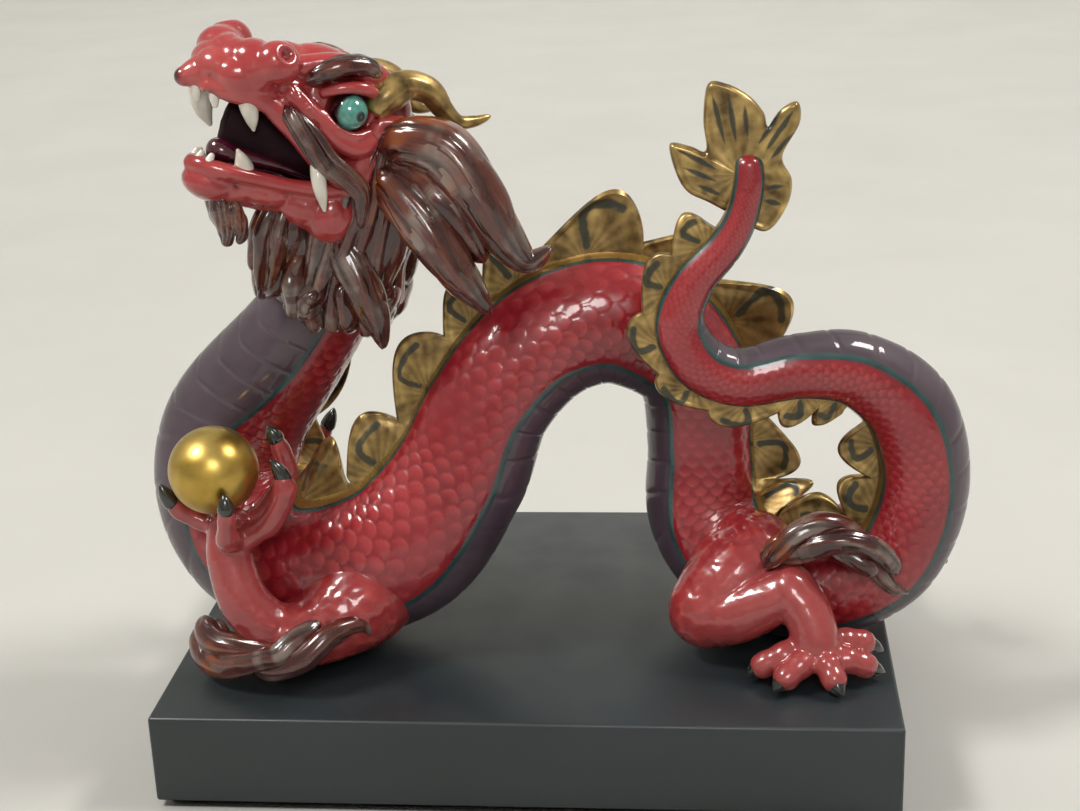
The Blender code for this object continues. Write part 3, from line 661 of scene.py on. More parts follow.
def press(shape, name, voxel, rounds):
    """Joins the lumps of clay into one skin, smoothed over, and leaves it as the active piece."""
    bmesh.ops.scale(shape, vec=(MM, MM, MM), verts=shape.verts)
    bmesh.ops.recalc_face_normals(shape, faces=shape.faces[:])
    mesh = bpy.data.meshes.new(name)
    shape.to_mesh(mesh)
    shape.free()
    piece = stand_alone(name, mesh)
    joined = piece.modifiers.new("joined", "REMESH")
    joined.mode = "VOXEL"
    joined.voxel_size = voxel * MM
    bpy.ops.object.modifier_apply(modifier="joined")
    rubbed = piece.modifiers.new("rubbed", "SMOOTH")
    rubbed.factor = 0.5
    rubbed.iterations = rounds
    bpy.ops.object.modifier_apply(modifier="rubbed")
    return piece


def points_of(piece):
    """Places and outward directions of a piece's points, in millimetres."""
    count = len(piece.data.vertices)
    places = np.zeros(count * 3)
    piece.data.vertices.foreach_get("co", places)
    outward = np.zeros(count * 3)
    piece.data.vertices.foreach_get("normal", outward)
    return places.reshape(-1, 3) / MM, outward.reshape(-1, 3)


def set_points(piece, places):
    piece.data.vertices.foreach_set("co", (places * MM).ravel())
    piece.data.update()


def give(piece, name, values):
    """A number for each point, for the paint to read."""
    layer = piece.data.attributes.new(name, "FLOAT", "POINT")
    layer.data.foreach_set("value", np.asarray(values, dtype=np.float32))


def off_path(places, rows):
    """Distance of each place from a path through rows, and how far along the path it is, 0 to 1."""
    rows = np.array(rows, dtype=float)
    nearest = np.full(len(places), 1e3)
    along = np.zeros(len(places))
    for step in range(len(rows) * 6 - 5):
        point = row_at(rows, step / 6)[:3]
        away = np.linalg.norm(places - point, axis=1)
        closer = away < nearest
        nearest[closer] = away[closer]
        along[closer] = step / (len(rows) * 6 - 6)
    return nearest, along


def stroke_in(piece, rows, width, depth):
    """Presses a groove (or raises a welt, where depth is below 0) along a path on the skin."""
    places, outward = points_of(piece)
    away, _ = off_path(places, rows)
    places = places - outward * (depth * np.exp(-(away / width) ** 2))[:, None]
    set_points(piece, places)


limb_glaze, shader = new_finish("limb_glaze", 0.3, coat=0.7, coat_roughness=0.05)
red = ramp(limb_glaze, cloud(limb_glaze, 22.0, 5.0, distortion=0.7), (0.25, colour(122, 24, 32)),
           (0.5, colour(146, 38, 43)), (0.78, colour(166, 60, 58)))
# Painted light on the limbs: painted shade in the dents between the bumps, painted highlights on the bumps'
# tops, and lighter paint near the hands and feet, painted light where the lamps fall strongly.
shade_and_mottle = measured(limb_glaze, "shade_and_mottle")
red = blend(limb_glaze, sums(limb_glaze, "MULTIPLY", shade_and_mottle, 0.75), red, colour(92, 10, 26))
red = blend(limb_glaze, measured(limb_glaze, "highlight_and_mottle"), red, colour(184, 78, 70))
red = blend(limb_glaze, measured(limb_glaze, "near_paw_lit"), red, colour(156, 68, 68))
paint_on(limb_glaze, shader, "Base Color", red)
uneven_shine(limb_glaze, shader, 45.0, 4.0, 0.2, 0.16)
relief(limb_glaze, shader, cloud(limb_glaze, 380.0, 3.0), 0.06, 0.3)

claw_glaze, shader = new_finish("claw_glaze", 0.2, coat=1.0, coat_roughness=0.05)
paint_on(claw_glaze, shader, "Base Color",
         ramp(claw_glaze, cloud(claw_glaze, 120.0, 4.0),
              (0.3, colour(14, 22, 20)), (0.7, colour(40, 38, 34))))
uneven_shine(claw_glaze, shader, 80.0, 3.0, 0.2, 0.12)

LIMBS = {
    "arm_near": ([[(-69, -44, 81, 23), (-82, -58, 73, 23), (-98, -70, 66, 17), (-114, -76, 66, 13)],
                  [(-115, -76, 67, 13), (-127, -77, 83, 11.5), (-133, -73, 102, 10.5),
                   (-134, -68, 116, 10)]],
                 [[(-136, -68, 116, 5), (-146, -67, 118, 4.5), (-156, -69, 125, 4), (-162, -72, 138, 1.5)],
                  [(-131, -76, 113, 6), (-129, -88, 119, 5), (-127, -93, 131, 4), (-127, -94, 142, 1.5)],
                  [(-128, -64, 114, 6), (-117, -60, 121, 5.5), (-108, -58, 138, 5), (-110, -58, 151, 4),
                   (-114, -60, 161, 1.5)],
                  [(-126, -72, 112, 6), (-113, -74, 121, 5.5), (-105, -74, 137, 5), (-110, -76, 151, 2)]]),
    "arm_far": ([[(-90, -6, 80, 21), (-104, 16, 72, 20), (-122, 34, 66, 15), (-134, 44, 70, 12)],
                 [(-134, 44, 71, 12), (-138, 47, 82, 11), (-138, 49, 94, 10), (-136, 50, 104, 9.5)]],
                [[(-140, 48, 104, 5), (-150, 46, 112, 4.5), (-154, 46, 122, 4), (-152, 46, 131, 1.5)],
                 [(-135, 54, 104, 5), (-136, 64, 112, 4.5), (-135, 66, 123, 4), (-131, 65, 132, 1.5)],
                 [(-131, 50, 102, 5), (-121, 50, 108, 4.5), (-114, 50, 117, 4), (-108, 50, 130, 1.5)]]),
    "leg_near": ([[(102, -36, 88, 22), (92, -44, 80, 22), (82, -51, 70, 19)],
                  [(80, -52, 68, 17), (94, -58, 71, 15), (107, -61, 77.5, 13), (118, -61, 84, 11.5)],
                  [(118, -62, 84, 11.5), (123, -65, 78, 11.5), (127, -69, 71, 11), (129, -72, 63, 11)]],
                 [[(124, -72, 62, 6.5), (115, -75, 58, 5.8), (106, -76, 53.5, 5.6), (101, -78, 48.5, 1.5)],
                  [(128, -76, 60, 6.5), (122, -82, 56.5, 5.8), (116, -86, 53, 5.6), (112, -90, 48, 1.5)],
                  [(132, -76, 60, 6.5), (134, -83, 56.5, 5.8), (136, -87, 53, 5.6), (139, -92, 48, 1.5)],
                  [(134, -74, 60, 6.5), (143, -76, 56.5, 5.8), (150, -75, 53.5, 5.6), (157, -74, 49, 1.5)],
                  [(134, -70, 62, 6.5), (143, -66, 61, 5.8), (150, -64, 59, 5.6), (157, -63, 54, 1.5)]]),
    "leg_far": ([[(112, 0, 87, 22), (114, 12, 78, 21), (118, 25, 68, 17)],
                 [(118, 26, 66, 15), (138, 33, 69, 12.5), (155, 34, 77, 10), (169, 34, 84, 8.5)],
                 [(170, 34, 83, 9), (175, 37, 75, 8.5), (177, 40, 68, 8.5), (177, 42, 62, 9)]],
                [[(172, 44, 60, 6), (166, 52, 56, 5), (162, 60, 52, 5), (160, 67, 48, 1.5)],
                 [(178, 44, 60, 6), (182, 52, 56, 5), (184, 58, 52, 5), (186, 64, 50, 1.5)],
                 [(180, 42, 60, 6), (188, 42, 57, 5), (193, 41, 55, 4.5), (197, 40, 51, 1.5)],
                 [(178, 38, 62, 6), (186, 34, 61, 5), (191, 32, 60, 4.5), (196, 31, 56, 1.5)]])}

BODY_UNDER = {"arm_near": (4, 7), "arm_far": (3, 6), "leg_near": (13, 16), "leg_far": (13, 16)}


def off_body(places, first, last):
    """How far each place is outside the body's tube, in millimetres; below 0 inside it."""
    nearest = np.full(len(places), 1e3)
    for place in np.arange(first, last + 0.01, 0.1):
        centre, _, side, back, half_side, half_back = section(BODY, place)
        away = places - np.array(centre)
        out = np.hypot(away @ np.array(side) / half_side, away @ np.array(back) / half_back)
        along = np.abs(away @ np.array(side.cross(back)))
        distance = np.hypot((out - 1) * (half_side + half_back) / 2, np.clip(along - 3, 0, None))
        nearest = np.minimum(nearest, np.where(out < 1, np.clip(along - 3, 0, None), distance))
    return nearest


for name, (bones, fingers) in LIMBS.items():
    is_foot = name.startswith("leg")
    shape = bmesh.new()
    for bone in bones:
        rod(shape, bone, 30)
    first, last = BODY_UNDER[name]
    under = BODY[first - 1:last + 2].copy()
    under[:, 3:5] -= 1.1
    for place in np.arange(1, last - first + 1.01, 0.25):
        centre, travel, side, back, half_side, half_back = section(under, place)
        turned = Matrix((travel, side, back)).transposed().to_4x4()
        lump(shape, centre, ((half_side + half_back) * 0.3, half_side, half_back), turned)
    claws = bmesh.new()
    for finger in fingers:
        stop = len(finger) - (1.95 if is_foot else 1.75)
        knuckled = []
        for place in np.linspace(0, stop, 9):
            row = row_at(np.array(finger, dtype=float), place)
            bend = abs(place % 1 - 0.5) * 2
            knuckled.append((*row[:3], max(row[3], 3.2) * (0.94 + 0.18 * bend)))
        rod(shape, knuckled, 16, 1.0)
        root = np.array(knuckled[-1][:3])
        heading = root - np.array(knuckled[-3][:3])
        heading = heading / np.linalg.norm(heading)
        tip = np.array(finger[-1][:3], dtype=float)
        if is_foot:
            tip = tip + np.array((heading[0], heading[1], 0.0)) * 3.0
            tip[2] = max(tip[2], 47.0)
        root = root + heading * 1.5
        reach = float(np.linalg.norm(tip - root))
        claw = []
        for share in (0, 0.25, 0.5, 0.75, 1.0):
            bowed = root + (tip - root) * share + heading * 0.3 * reach * share * (1 - share) * 1.4
            claw.append((*bowed, (3.9 if is_foot else 3.5) * (1 - share ** 1.5) + 0.5))
        rod(claws, claw, 14, 0.9)
    press(shape, name, 0.85, 5)
    piece = bpy.context.object
    places, outward = points_of(piece)
    joint = np.exp(-(off_body(places, first - 1, last + 1) / 6.0) ** 2)
    joint[joint < 0.05] = 0
    luted = piece.vertex_groups.new(name="luted")
    for step in range(1, 5):
        chosen = np.nonzero((joint > (step - 1) / 4) & (joint <= step / 4))[0]
        luted.add(chosen.tolist(), step / 4, "REPLACE")
    filled = piece.modifiers.new("filled", "SMOOTH")
    filled.factor = 0.5
    filled.iterations = 45
    filled.vertex_group = "luted"
    bpy.ops.object.modifier_apply(modifier="filled")
    places, outward = points_of(piece)
    free = np.clip(off_body(places, first - 1, last + 1) / 4, 0, 1)
    palm = np.array(fingers[0][0][:3], dtype=float)
    # Near the hand or foot the bumps are softer, and the paint is made lighter there as painted light.
    near_paw_lit = np.clip((60 - np.linalg.norm(places - palm, axis=1)) / 30, 0, 1) * free
    bumps = np.maximum(ripple(places, 1.5), ripple(places, 1.3, 5.0)) - 0.3
    soft = bumps * 0.3 * free * (1 - 0.6 * near_paw_lit) + ripple(places, 5.0, 3.0) * 0.35 * free
    set_points(piece, places + outward * soft[:, None])
    # Painted shade in the dents between the bumps and painted highlights on their tops.
    give(piece, "shade_and_mottle", np.clip(-bumps * 0.5, 0, 0.25))
    give(piece, "highlight_and_mottle", np.clip(bumps - 0.2, 0, 0.5) * free)
    give(piece, "near_paw_lit", near_paw_lit * 0.75)
    settle(name + "_glazed", limb_glaze, "dragon", [name], smooth_to=180)
    press(claws, name + "_claws", 0.45, 2)
    settle(name + "_claws", claw_glaze, "dragon", [], smooth_to=180)

# The head, modelled by hand in clay before it was moulded: a broad skull with a humped nose, flared
# nostrils and heavy lids, and an open lower jaw. Red glaze outside, near-black painted shade inside
# the mouth, and darker painted shade in the nostrils and round the eyes.
HEAD_CENTRE = Vector((-80, -31, 299))
HEAD_FORWARD = Vector((-0.792, -0.495, 0.357)).normalized()
HEAD_NEAR = Vector((0.530, -0.848, 0.0)).normalized()
HEAD_UP = HEAD_FORWARD.cross(HEAD_NEAR)
HEAD_PLACE = (Matrix.Translation(HEAD_CENTRE)
              @ Matrix((HEAD_FORWARD, HEAD_NEAR, HEAD_UP)).transposed().to_4x4())
ACROSS = Vector((0, 1, 0))


def other_side(rows, side):
    """Head rows as they are for the near side, or mirrored for the far side when side is -1."""
    return [(row[0], row[1] * side, *row[2:]) for row in rows]


def set_on_head(piece):
    """Moves a piece from the head's own forward, near and up onto the neck."""
    place = HEAD_PLACE.copy()
    place.translation = HEAD_CENTRE * MM
    piece.data.transform(place)
    piece.data.update()


def dimple(piece, centre, width, depth):
    """Presses a thumb mark into the skin, or raises a bump where depth is below 0."""
    places, outward = points_of(piece)
    away = np.linalg.norm(places - np.array(centre, dtype=float), axis=1)
    set_points(piece, places - outward * (depth * np.exp(-(away / width) ** 2))[:, None])


face_glaze, shader = new_finish("face_glaze", 0.3, coat=0.9, coat_roughness=0.07)
red = ramp(face_glaze, cloud(face_glaze, 24.0, 5.0, distortion=0.7), (0.25, colour(142, 36, 40)),
           (0.5, colour(164, 54, 56)), (0.78, colour(182, 84, 80)))
# Lighter mottle over the face; painted shade in the nostrils, the creases round the eyes and the ears'
# folds, with darker mottle on the jaw; near-black painted shade inside the mouth.
red = blend(face_glaze, measured(face_glaze, "highlight_and_mottle"), red, colour(190, 104, 96))
red = blend(face_glaze, measured(face_glaze, "shade_and_mottle"), red, colour(96, 12, 30))
red = blend(face_glaze, measured(face_glaze, "mouth_shade"), red, colour(26, 12, 18))
paint_on(face_glaze, shader, "Base Color", red)
uneven_shine(face_glaze, shader, 45.0, 4.0, 0.2, 0.14)
relief(face_glaze, shader, cloud(face_glaze, 380.0, 3.0), 0.05, 0.3)

shape = bmesh.new()
for place, radii in [((-24, 0, -1), (12, 18, 18)), ((-10, 0, 1), (20, 20, 21)), ((6, 0, 2), (18, 18, 20)),
                     ((10, 0, 18), (13, 9, 6)), ((37, 0, -1), (22, 14, 8.5)), ((53, 0, 0), (12, 12, 8)),
                     ((24, 0, 2), (16, 16, 13)),
                     ((50, 0, 9), (10, 10, 9)), ((46, -17, 14), (10, 8.5, 9.5)),
                     ((36, 19, 11), (10, 8.5, 10)),
                     ((51, -10, 10), (11, 11, 10)), ((43, 10, 9), (11, 11, 10)), ((56, -3, 4), (9, 11, 9)),
                     ((47, 5, 7), (12, 11, 10.5)), ((40, 14, 7), (12, 9, 10.5)), ((54, 3, 3), (11, 11, 9)),
                     ((44, 12, 2), (14, 8, 9)),
                     ((38, -14, 6), (12, 8, 9))]:
    lump(shape, place, radii)
rod(shape, [(0, 0, 12, 11), (18, 0, 10, 11), (34, 0, 8, 10), (50, 0, 6, 9)], 24)
rod(shape, [(48, 0, 2, 10.5), (57, 0, -0.5, 9), (64, 0, -3.5, 6.4), (67, 0, -5, 4.4)], 20)
for side in (1, -1):
    lump(shape, (-5, 15 * side, -12), (14, 7, 11))
    lump(shape, (-15, 17 * side, -24), (9, 6.5, 15))
    for rows, sides in [([(57, 7, -6, 4.5), (47, 12, -5, 5), (37, 14, -5, 5), (29, 16, -8, 4.5)], 18),
                        ([(30, 15, -9, 4.2), (20, 18, -15, 4.2), (8, 19, -23, 4.5), (-4, 19, -29, 4.5)], 18),
                        ([(26, 15, 1, 4.5), (14, 19, -6, 4.6), (2, 21, -13, 4.8), (-8, 21, -14, 4.6),
                          (-15, 20, -8, 4)], 18),
                        ([(13, 19, 5, 2.4), (7, 22, 8.5, 2.8), (-2, 23, 11, 3.2), (-10, 21.5, 10, 2.6)], 14),
                        ([(12, 20, -3, 2), (5, 23.5, -8, 2.2), (-4, 23.5, -9.5, 2.4),
                          (-11, 21.5, -6, 2)], 14),
                        ([(22, 12, 13, 5), (10, 15, 17, 5.5), (-6, 16, 18, 5.5), (-18, 14, 14, 5)], 18)]:
        rod(shape, other_side(rows, side), sides)
press(shape, "skull", 0.75, 12)
skull = bpy.context.object
for centre, width, depth in [((35, 26, 17), 3.0, 4.6), ((50, -20, 22), 3.0, 4.2), ((34, 22, 1), 4.0, 1.5),
                             ((42, 0, 17), 5.0, 1.6), ((28, 0, 19), 6.0, -1.6), ((17, 21, 13), 4.0, 1.2)]:
    dimple(skull, centre, width, depth)
for side in (1, -1):
    places, outward = points_of(skull)
    eye = np.array((0.0, 19.5 * side, 0.0))
    away = np.linalg.norm(places - eye, axis=1)
    places[:, 1] -= side * 5.0 * np.clip(1 - (away / 10.5) ** 2, 0, 1)
    set_points(skull, places)
    for rows, width, depth in [([(27, 17, 7), (22, 20, 0), (14, 23, -9)], 1.6, 1.0),
                               ([(46, 12, 4), (38, 15, 1), (30, 18, 3)], 2.4, 1.1),
                               ([(54, 9, 5), (58, 5, 3), (62, 3, 0)], 1.6, 0.7),
                               ([(14, 14, 14), (12, 18, 8)], 1.6, 0.9),
                               ([(-14, 22, -2), (-18, 22, -14), (-20, 23, -28)], 1.8, 0.9)]:
        stroke_in(skull, other_side(rows, side), width, depth)
places, outward = points_of(skull)
inside = (outward[:, 2] < -0.35) & (np.abs(places[:, 1]) < 11.5) & (places[:, 0] > 6) & (places[:, 0] < 60)
places[:, 2] += inside * 2.5 * (1 - (places[:, 1] / 12) ** 2)
set_points(skull, places)
places, outward = points_of(skull)
# Painted shade, near black, over the palate and the inside of the mouth, and a spot of it at the tip of the
# snout.
mouth_shade = np.clip((np.abs(outward[:, 2] + 1.0) < 0.75) * (12.5 - np.abs(places[:, 1])) / 2.0, 0, 1)
mouth_shade *= np.clip((places[:, 0] - 2) / 3, 0, 1) * np.clip((60 - places[:, 0]) / 3, 0, 1) * (places[:, 2] < -4)
inner = (places[:, 2] < -12) & (np.abs(places[:, 1]) < 16.5)
mouth_shade = np.maximum(mouth_shade, inner * 1.0)
# Painted shade in the nostrils and in the crease round each eye.
shade_and_mottle = np.zeros(len(places))
for centre, width in [((35, 25, 17), 2.8), ((50, -19, 22), 2.8)]:
    shade_and_mottle += 1.2 * np.exp(-(np.linalg.norm(places - np.array(centre), axis=1) / width) ** 4)
mouth_shade = np.maximum(mouth_shade, np.exp(-(np.linalg.norm(places - np.array((70.5, 0, -5.5)), axis=1) / 3.4) ** 4))
for side in (1, -1):
    away = np.linalg.norm(places - np.array((0, 19.5 * side, 0)), axis=1)
    shade_and_mottle += 0.8 * np.exp(-((away - 7.5) / 2.0) ** 2)
give(skull, "mouth_shade", mouth_shade)
give(skull, "shade_and_mottle", np.clip(shade_and_mottle, 0, 1))
# Lighter mottle over the face, at random.
give(skull, "highlight_and_mottle", np.clip(ripple(places, 6.0) - 0.3, 0, 1) * 0.5)
set_on_head(skull)
settle("skull_glazed", face_glaze, "dragon", ["skull"], smooth_to=180)

shape = bmesh.new()
for place, radii in [((-14, 0, -43.5), (15, 21, 15.5)), ((0, 0, -43.5), (18, 18, 12.5)),
                     ((-9, 9, -45), (14, 13.5, 13.5)), ((-9, -9, -45), (14, 13.5, 13.5)),
                     ((22, 0, -43), (18, 14, 7.5)),
                     ((44, 0, -45), (13, 11.5, 8.5)), ((38, 0, -46), (14, 10, 7))]:
    lump(shape, place, radii)
rod(shape, [(-14, 0, -41, 12), (10, 0, -43, 9), (30, 0, -44, 8.5), (46, 0, -44, 9)], 26)
for side in (1, -1):
    rod(shape, other_side([(-18, 18, -32, 4), (-4, 18, -34, 3.8), (12, 15, -37, 3.4), (28, 12.5, -38, 3.6),
                           (42, 10.5, -38.5, 4), (51, 6, -38.5, 4), (54, 0, -39, 4)], side), 16)
press(shape, "lower_jaw", 0.75, 4)
jaw = bpy.context.object
places, outward = points_of(jaw)
trough = (outward[:, 2] > 0.3) * np.clip(1 - (places[:, 1] / 9) ** 2, 0, 1)
trough *= np.clip((places[:, 0] + 2) / 6, 0, 1) * np.clip((49 - places[:, 0]) / 5, 0, 1)
places[:, 2] -= 3.5 * trough
set_points(jaw, places)
for side in (1, -1):
    stroke_in(jaw, other_side([(44, 12, -44), (30, 14.5, -43), (14, 17, -42), (2, 20, -42)], side), 2.4, 1.0)
    stroke_in(jaw, other_side([(34, 10, -51), (38, 12, -47), (40, 13, -42)], side), 2.0, 0.8)
    stroke_in(jaw, other_side([(-6, 21, -36), (-10, 22, -42), (-8, 20, -48)], side), 2.0, 0.7)
places, outward = points_of(jaw)
# Painted shade, near black, in the bed of the tongue.
mouth_shade = np.clip((outward[:, 2] > 0.0) * (10.5 - np.abs(places[:, 1])) / 2.0, 0, 1)
mouth_shade *= np.clip((50 - places[:, 0]) / 3, 0, 1) * (places[:, 2] > -44)
give(jaw, "mouth_shade", mouth_shade)
# Darker and lighter mottle on the jaw, at random.
give(jaw, "shade_and_mottle", np.clip(-ripple(places, 7.0) - 0.4, 0, 1) * 0.4)
give(jaw, "highlight_and_mottle", np.clip(ripple(places, 6.0) - 0.3, 0, 1) * 0.5)
set_on_head(jaw)
settle("lower_jaw_glazed", face_glaze, "dragon", ["lower_jaw"], smooth_to=180)

# Tongue, glazed a dark plum with painted shade that takes it almost to black at the back of the
# mouth; a near-black mouth lining, painted shade that fills the inside of the mouth; and the ivory
# teeth, which are rolled cones pressed into the gums before the firing.
plum_glaze, shader = new_finish("plum_glaze", 0.2, coat=1.0, coat_roughness=0.05)
# Painted shade: the plum darkens almost to black towards the back of the mouth.
depth = ramp(plum_glaze, measured(plum_glaze, "depth"), (0.0, colour(74, 16, 34)), (1.0, colour(14, 8, 12)))
paint_on(plum_glaze, shader, "Base Color",
         blend(plum_glaze, sums(plum_glaze, "MULTIPLY", cloud(plum_glaze, 60.0, 4.0), 0.4), depth,
               colour(40, 12, 26)))
relief(plum_glaze, shader, cloud(plum_glaze, 300.0, 3.0), 0.08, 0.4)
shape = bmesh.new()
rod(shape, [(2, 0, -33, 9, 4), (18, 0, -31, 8.5, 4), (32, 0, -31, 7.5, 4.5), (44, 0, -31, 6, 4)], 24,
    towards=ACROSS)
lump(shape, (42, 0, -31), (8, 7, 5))
press(shape, "tongue", 0.7, 6)
tongue = bpy.context.object
stroke_in(tongue, [(10, 0, -27), (28, 0, -26), (46, 0, -27)], 1.6, 1.4)
# The depth measure carries the painted shade towards the back of the mouth.
give(tongue, "depth", np.clip((24 - points_of(tongue)[0][:, 0]) / 22, 0, 1))
set_on_head(tongue)
settle("tongue_glazed", plum_glaze, "dragon", ["tongue"], smooth_to=180)
# A near-black lining inside the head, with little shine, stands in for the shade deep in the mouth.
mouth_shade_dark, shader = new_finish("mouth_shade_dark", 0.6)
shader.inputs["Specular IOR Level"].default_value = 0.12
paint_on(mouth_shade_dark, shader, "Base Color",
         ramp(mouth_shade_dark, cloud(mouth_shade_dark, 60.0, 4.0), (0.3, colour(22, 8, 14)), (0.7, colour(40, 14, 24))))
shape = bmesh.new()
lump(shape, (-8, 0, -20), (20, 15.5, 16))
rod(shape, [(0, 0, -21, 14, 14), (16, 0, -21, 10.5, 13), (32, 0, -20, 7, 12), (46, 0, -19, 4, 10)], 24,
    towards=ACROSS, rounded=False)
press(shape, "mouth_shade_lining", 1.0, 8)
lining = bpy.context.object
places, outward = points_of(lining)
set_points(lining, places + outward * (0.4 * ripple(places, 4.0))[:, None])
set_on_head(lining)
settle("mouth_shade_lining", mouth_shade_dark, "dragon", [], smooth_to=180)

ivory, shader = new_finish("ivory", 0.24, coat=0.8, coat_roughness=0.08)
shader.inputs["Subsurface Weight"].default_value = 0.12
shader.inputs["Subsurface Radius"].default_value = (0.004, 0.003, 0.002)
paint_on(ivory, shader, "Base Color",
         ramp(ivory, cloud(ivory, 110.0, 5.0, stretch=(1, 1, 0.4)), (0.3, colour(196, 186, 172)),
              (0.6, colour(226, 222, 212))))
relief(ivory, shader, cloud(ivory, 240.0, 3.0, stretch=(1, 1, 0.3)), 0.1, 0.4)
FAR_CANINE = [(57, 7, -5, 5.6), (55, 8, -11, 5.6), (52, 9, -17, 4.0), (48, 9, -22, 1.2)]
TEETH = {
    "canine": [(43, 12.5, -6, 4.0), (41, 13.5, -10, 3.9), (38.5, 13.5, -14.5, 2.7), (36.5, 13, -18, 1.0)],
    "tusk": [(9, 20, -25, 2.2), (7, 22.5, -30, 3.3), (4, 23, -36, 2.9), (0, 22.5, -43, 0.9)],
    "lower_canine": [(33, 9, -38, 3.4), (35, 9.5, -35, 4.3), (37.5, 10.5, -31.5, 3.0), (40, 11, -28.5, 1.0)]}
for name, rows in TEETH.items():
    for word, side in (("near", 1), ("far", -1)):
        if name == "canine" and word == "far":
            rows = FAR_CANINE
        shape = bmesh.new()
        rod(shape, other_side(rows, side), 16, 0.8, ACROSS)
        press(shape, name + "_" + word, 0.4, 3)
        tooth = bpy.context.object
        places, outward = points_of(tooth)
        set_points(tooth, places + outward * (0.15 * ripple(places, 2.5))[:, None])
        set_on_head(tooth)
        settle(name + "_" + word + "_ivory", ivory, "dragon", [name + "_" + word], smooth_to=180)
shape = bmesh.new()
for front, near in [(62, 2.5), (56, 9)]:
    upper = [(front, near, -7, 2.4), (front - 1, near, -10, 2.2), (front - 2, near, -12.5, 1.4)]
    rod(shape, upper, 12, 0.7, ACROSS)
for front, near in [(53, 3.5), (53, -3.5), (50, 8), (50, -8.5)]:
    lower = [(front - 1, near, -40, 2.4), (front, near, -36.5, 2.2), (front - 0.5, near, -33.5, 1.4)]
    rod(shape, lower, 12, 0.7, ACROSS)
press(shape, "front_teeth", 0.4, 3)
set_on_head(bpy.context.object)
settle("front_teeth_ivory", ivory, "dragon", [], smooth_to=180)

# Eyes, glazed in turquoise with a soft dark pupil and a near-black rim of painted shade where the
# ball meets the lids, and fired twice so that they shine more than the face.
EYE_RADIUS = 8
eye_glaze, shader = new_finish("eye_glaze", 0.12, coat=1.0, coat_roughness=0.03)
off_gaze = measured(eye_glaze, "off_gaze")
eye_paint = ramp(eye_glaze, cloud(eye_glaze, 130.0, 6.0, distortion=1.5), (0.3, colour(44, 110, 106)),
                 (0.6, colour(92, 160, 148)), (0.8, colour(140, 190, 170)))
eye_paint = blend(eye_glaze, fade(eye_glaze, off_gaze, 0.34, 0.22), eye_paint, colour(20, 34, 34))
# Painted shade: a near-black rim where the ball goes in under the lids.
eye_paint = blend(eye_glaze, fade(eye_glaze, off_gaze, 1.15, 1.4), eye_paint, colour(30, 14, 20))
paint_on(eye_glaze, shader, "Base Color", eye_paint)
relief(eye_glaze, shader, cloud(eye_glaze, 90.0, 2.0), 0.1, 0.3)
for word, side in (("near", 1), ("far", -1)):
    bpy.ops.object.select_all(action="DESELECT")
    bpy.ops.mesh.primitive_ico_sphere_add(subdivisions=5, radius=EYE_RADIUS * MM)
    eye = bpy.context.object
    places, outward = points_of(eye)
    gaze = np.array((-0.30, 0.93 * side, -0.06))
    gaze = gaze / np.linalg.norm(gaze)
    off = np.arccos(np.clip(outward @ gaze, -1, 1))
    swell = 0.35 * np.exp(-(off / 0.55) ** 2) - 0.5 * np.exp(-(off / 0.22) ** 2)
    places = places + outward * swell[:, None]
    set_points(eye, places + np.array((0, 19.5 * side, 0)))
    give(eye, "off_gaze", off)
    set_on_head(eye)
    settle("eye_" + word + "_glazed", eye_glaze, "dragon", ["eye_" + word], smooth_to=180)

# Horns and ears. The horns are rolled tapers, bent over and gilded like the crests; the ears are
# small leaves of clay, folded once and glazed red with the face.


def grooved(rows, grooves, depth, twist=0.0, towards=FRONT, spacing=0.9, sides=72,
            start=0.1, end=0.1, seed=0.0):
    """Rings of a tapering lock with rounded strands, and each point's strand, valley and run."""
    rows = np.array(rows, dtype=float)
    spans = len(rows) - 1
    length = float(np.linalg.norm(np.diff(rows[:, :3], axis=0), axis=1).sum())
    rings = max(12, int(length / spacing))
    angles = np.arange(sides) / sides * 2 * math.pi
    grid, strand, valley, run = [], [], [], []
    for ring in range(rings + 1):
        share = ring / rings
        centre, _, side, back, half_side, half_back = section(rows, spans * share, towards)
        swirl = angles + twist * share + seed
        strand_place = swirl * grooves / (2 * math.pi)
        uneven = strand_place + 0.25 * np.sin(swirl * 2 + seed * 3) + 0.12 * np.sin(swirl * 5 + share * 5)
        dip = np.abs(np.cos(math.pi * uneven)) ** 5
        fine = 0.25 * np.abs(np.cos(3 * math.pi * uneven + share * 4)) ** 4
        shrink = 1 - depth * (dip + fine) + 0.05 * np.sin(share * 17 + np.floor(uneven) * 2.1 + seed)
        taper_in = math.sqrt(max(0.0, 1 - max(0.0, 1 - share / start) ** 2)) if start else 1.0
        taper_out = math.sqrt(max(0.0, 1 - max(0.0, 1 - (1 - share) / end) ** 2)) if end else 1.0
        size = max(0.03, taper_in * taper_out)
        out = (np.cos(angles) * half_side)[:, None] * np.array(side)
        out = out + (np.sin(angles) * half_back)[:, None] * np.array(back)
        grid.append(np.array(centre) + out * (shrink * size)[:, None])
        strand.append(np.floor(uneven + 0.5) % grooves + seed * 7)
        valley.append(dip + fine)
        run.append(np.full(sides, share))
    return grid, {"strand": strand, "valley": valley, "run": run}


def shells(name, locks, finish, nodes, place=None):
    """One piece from several closed locks that lie against each other."""
    parts = []
    for grid, numbers in locks:
        grid = np.asarray(grid, dtype=float)
        if place is not None:
            turned = np.array(place.to_3x3())
            grid = grid @ turned.T + np.array(place.translation)
        parts.append(skin(name + "_strand", grid, finish, [], numbers, smooth_to=180))
    bpy.ops.object.select_all(action="DESELECT")
    for part in parts:
        part.select_set(True)
    bpy.context.view_layer.objects.active = parts[0]
    if len(parts) > 1:
        bpy.ops.object.join()
    piece = bpy.context.object
    piece.name = name
    piece.data.name = name
    if nodes:
        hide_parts(*nodes)
    return piece


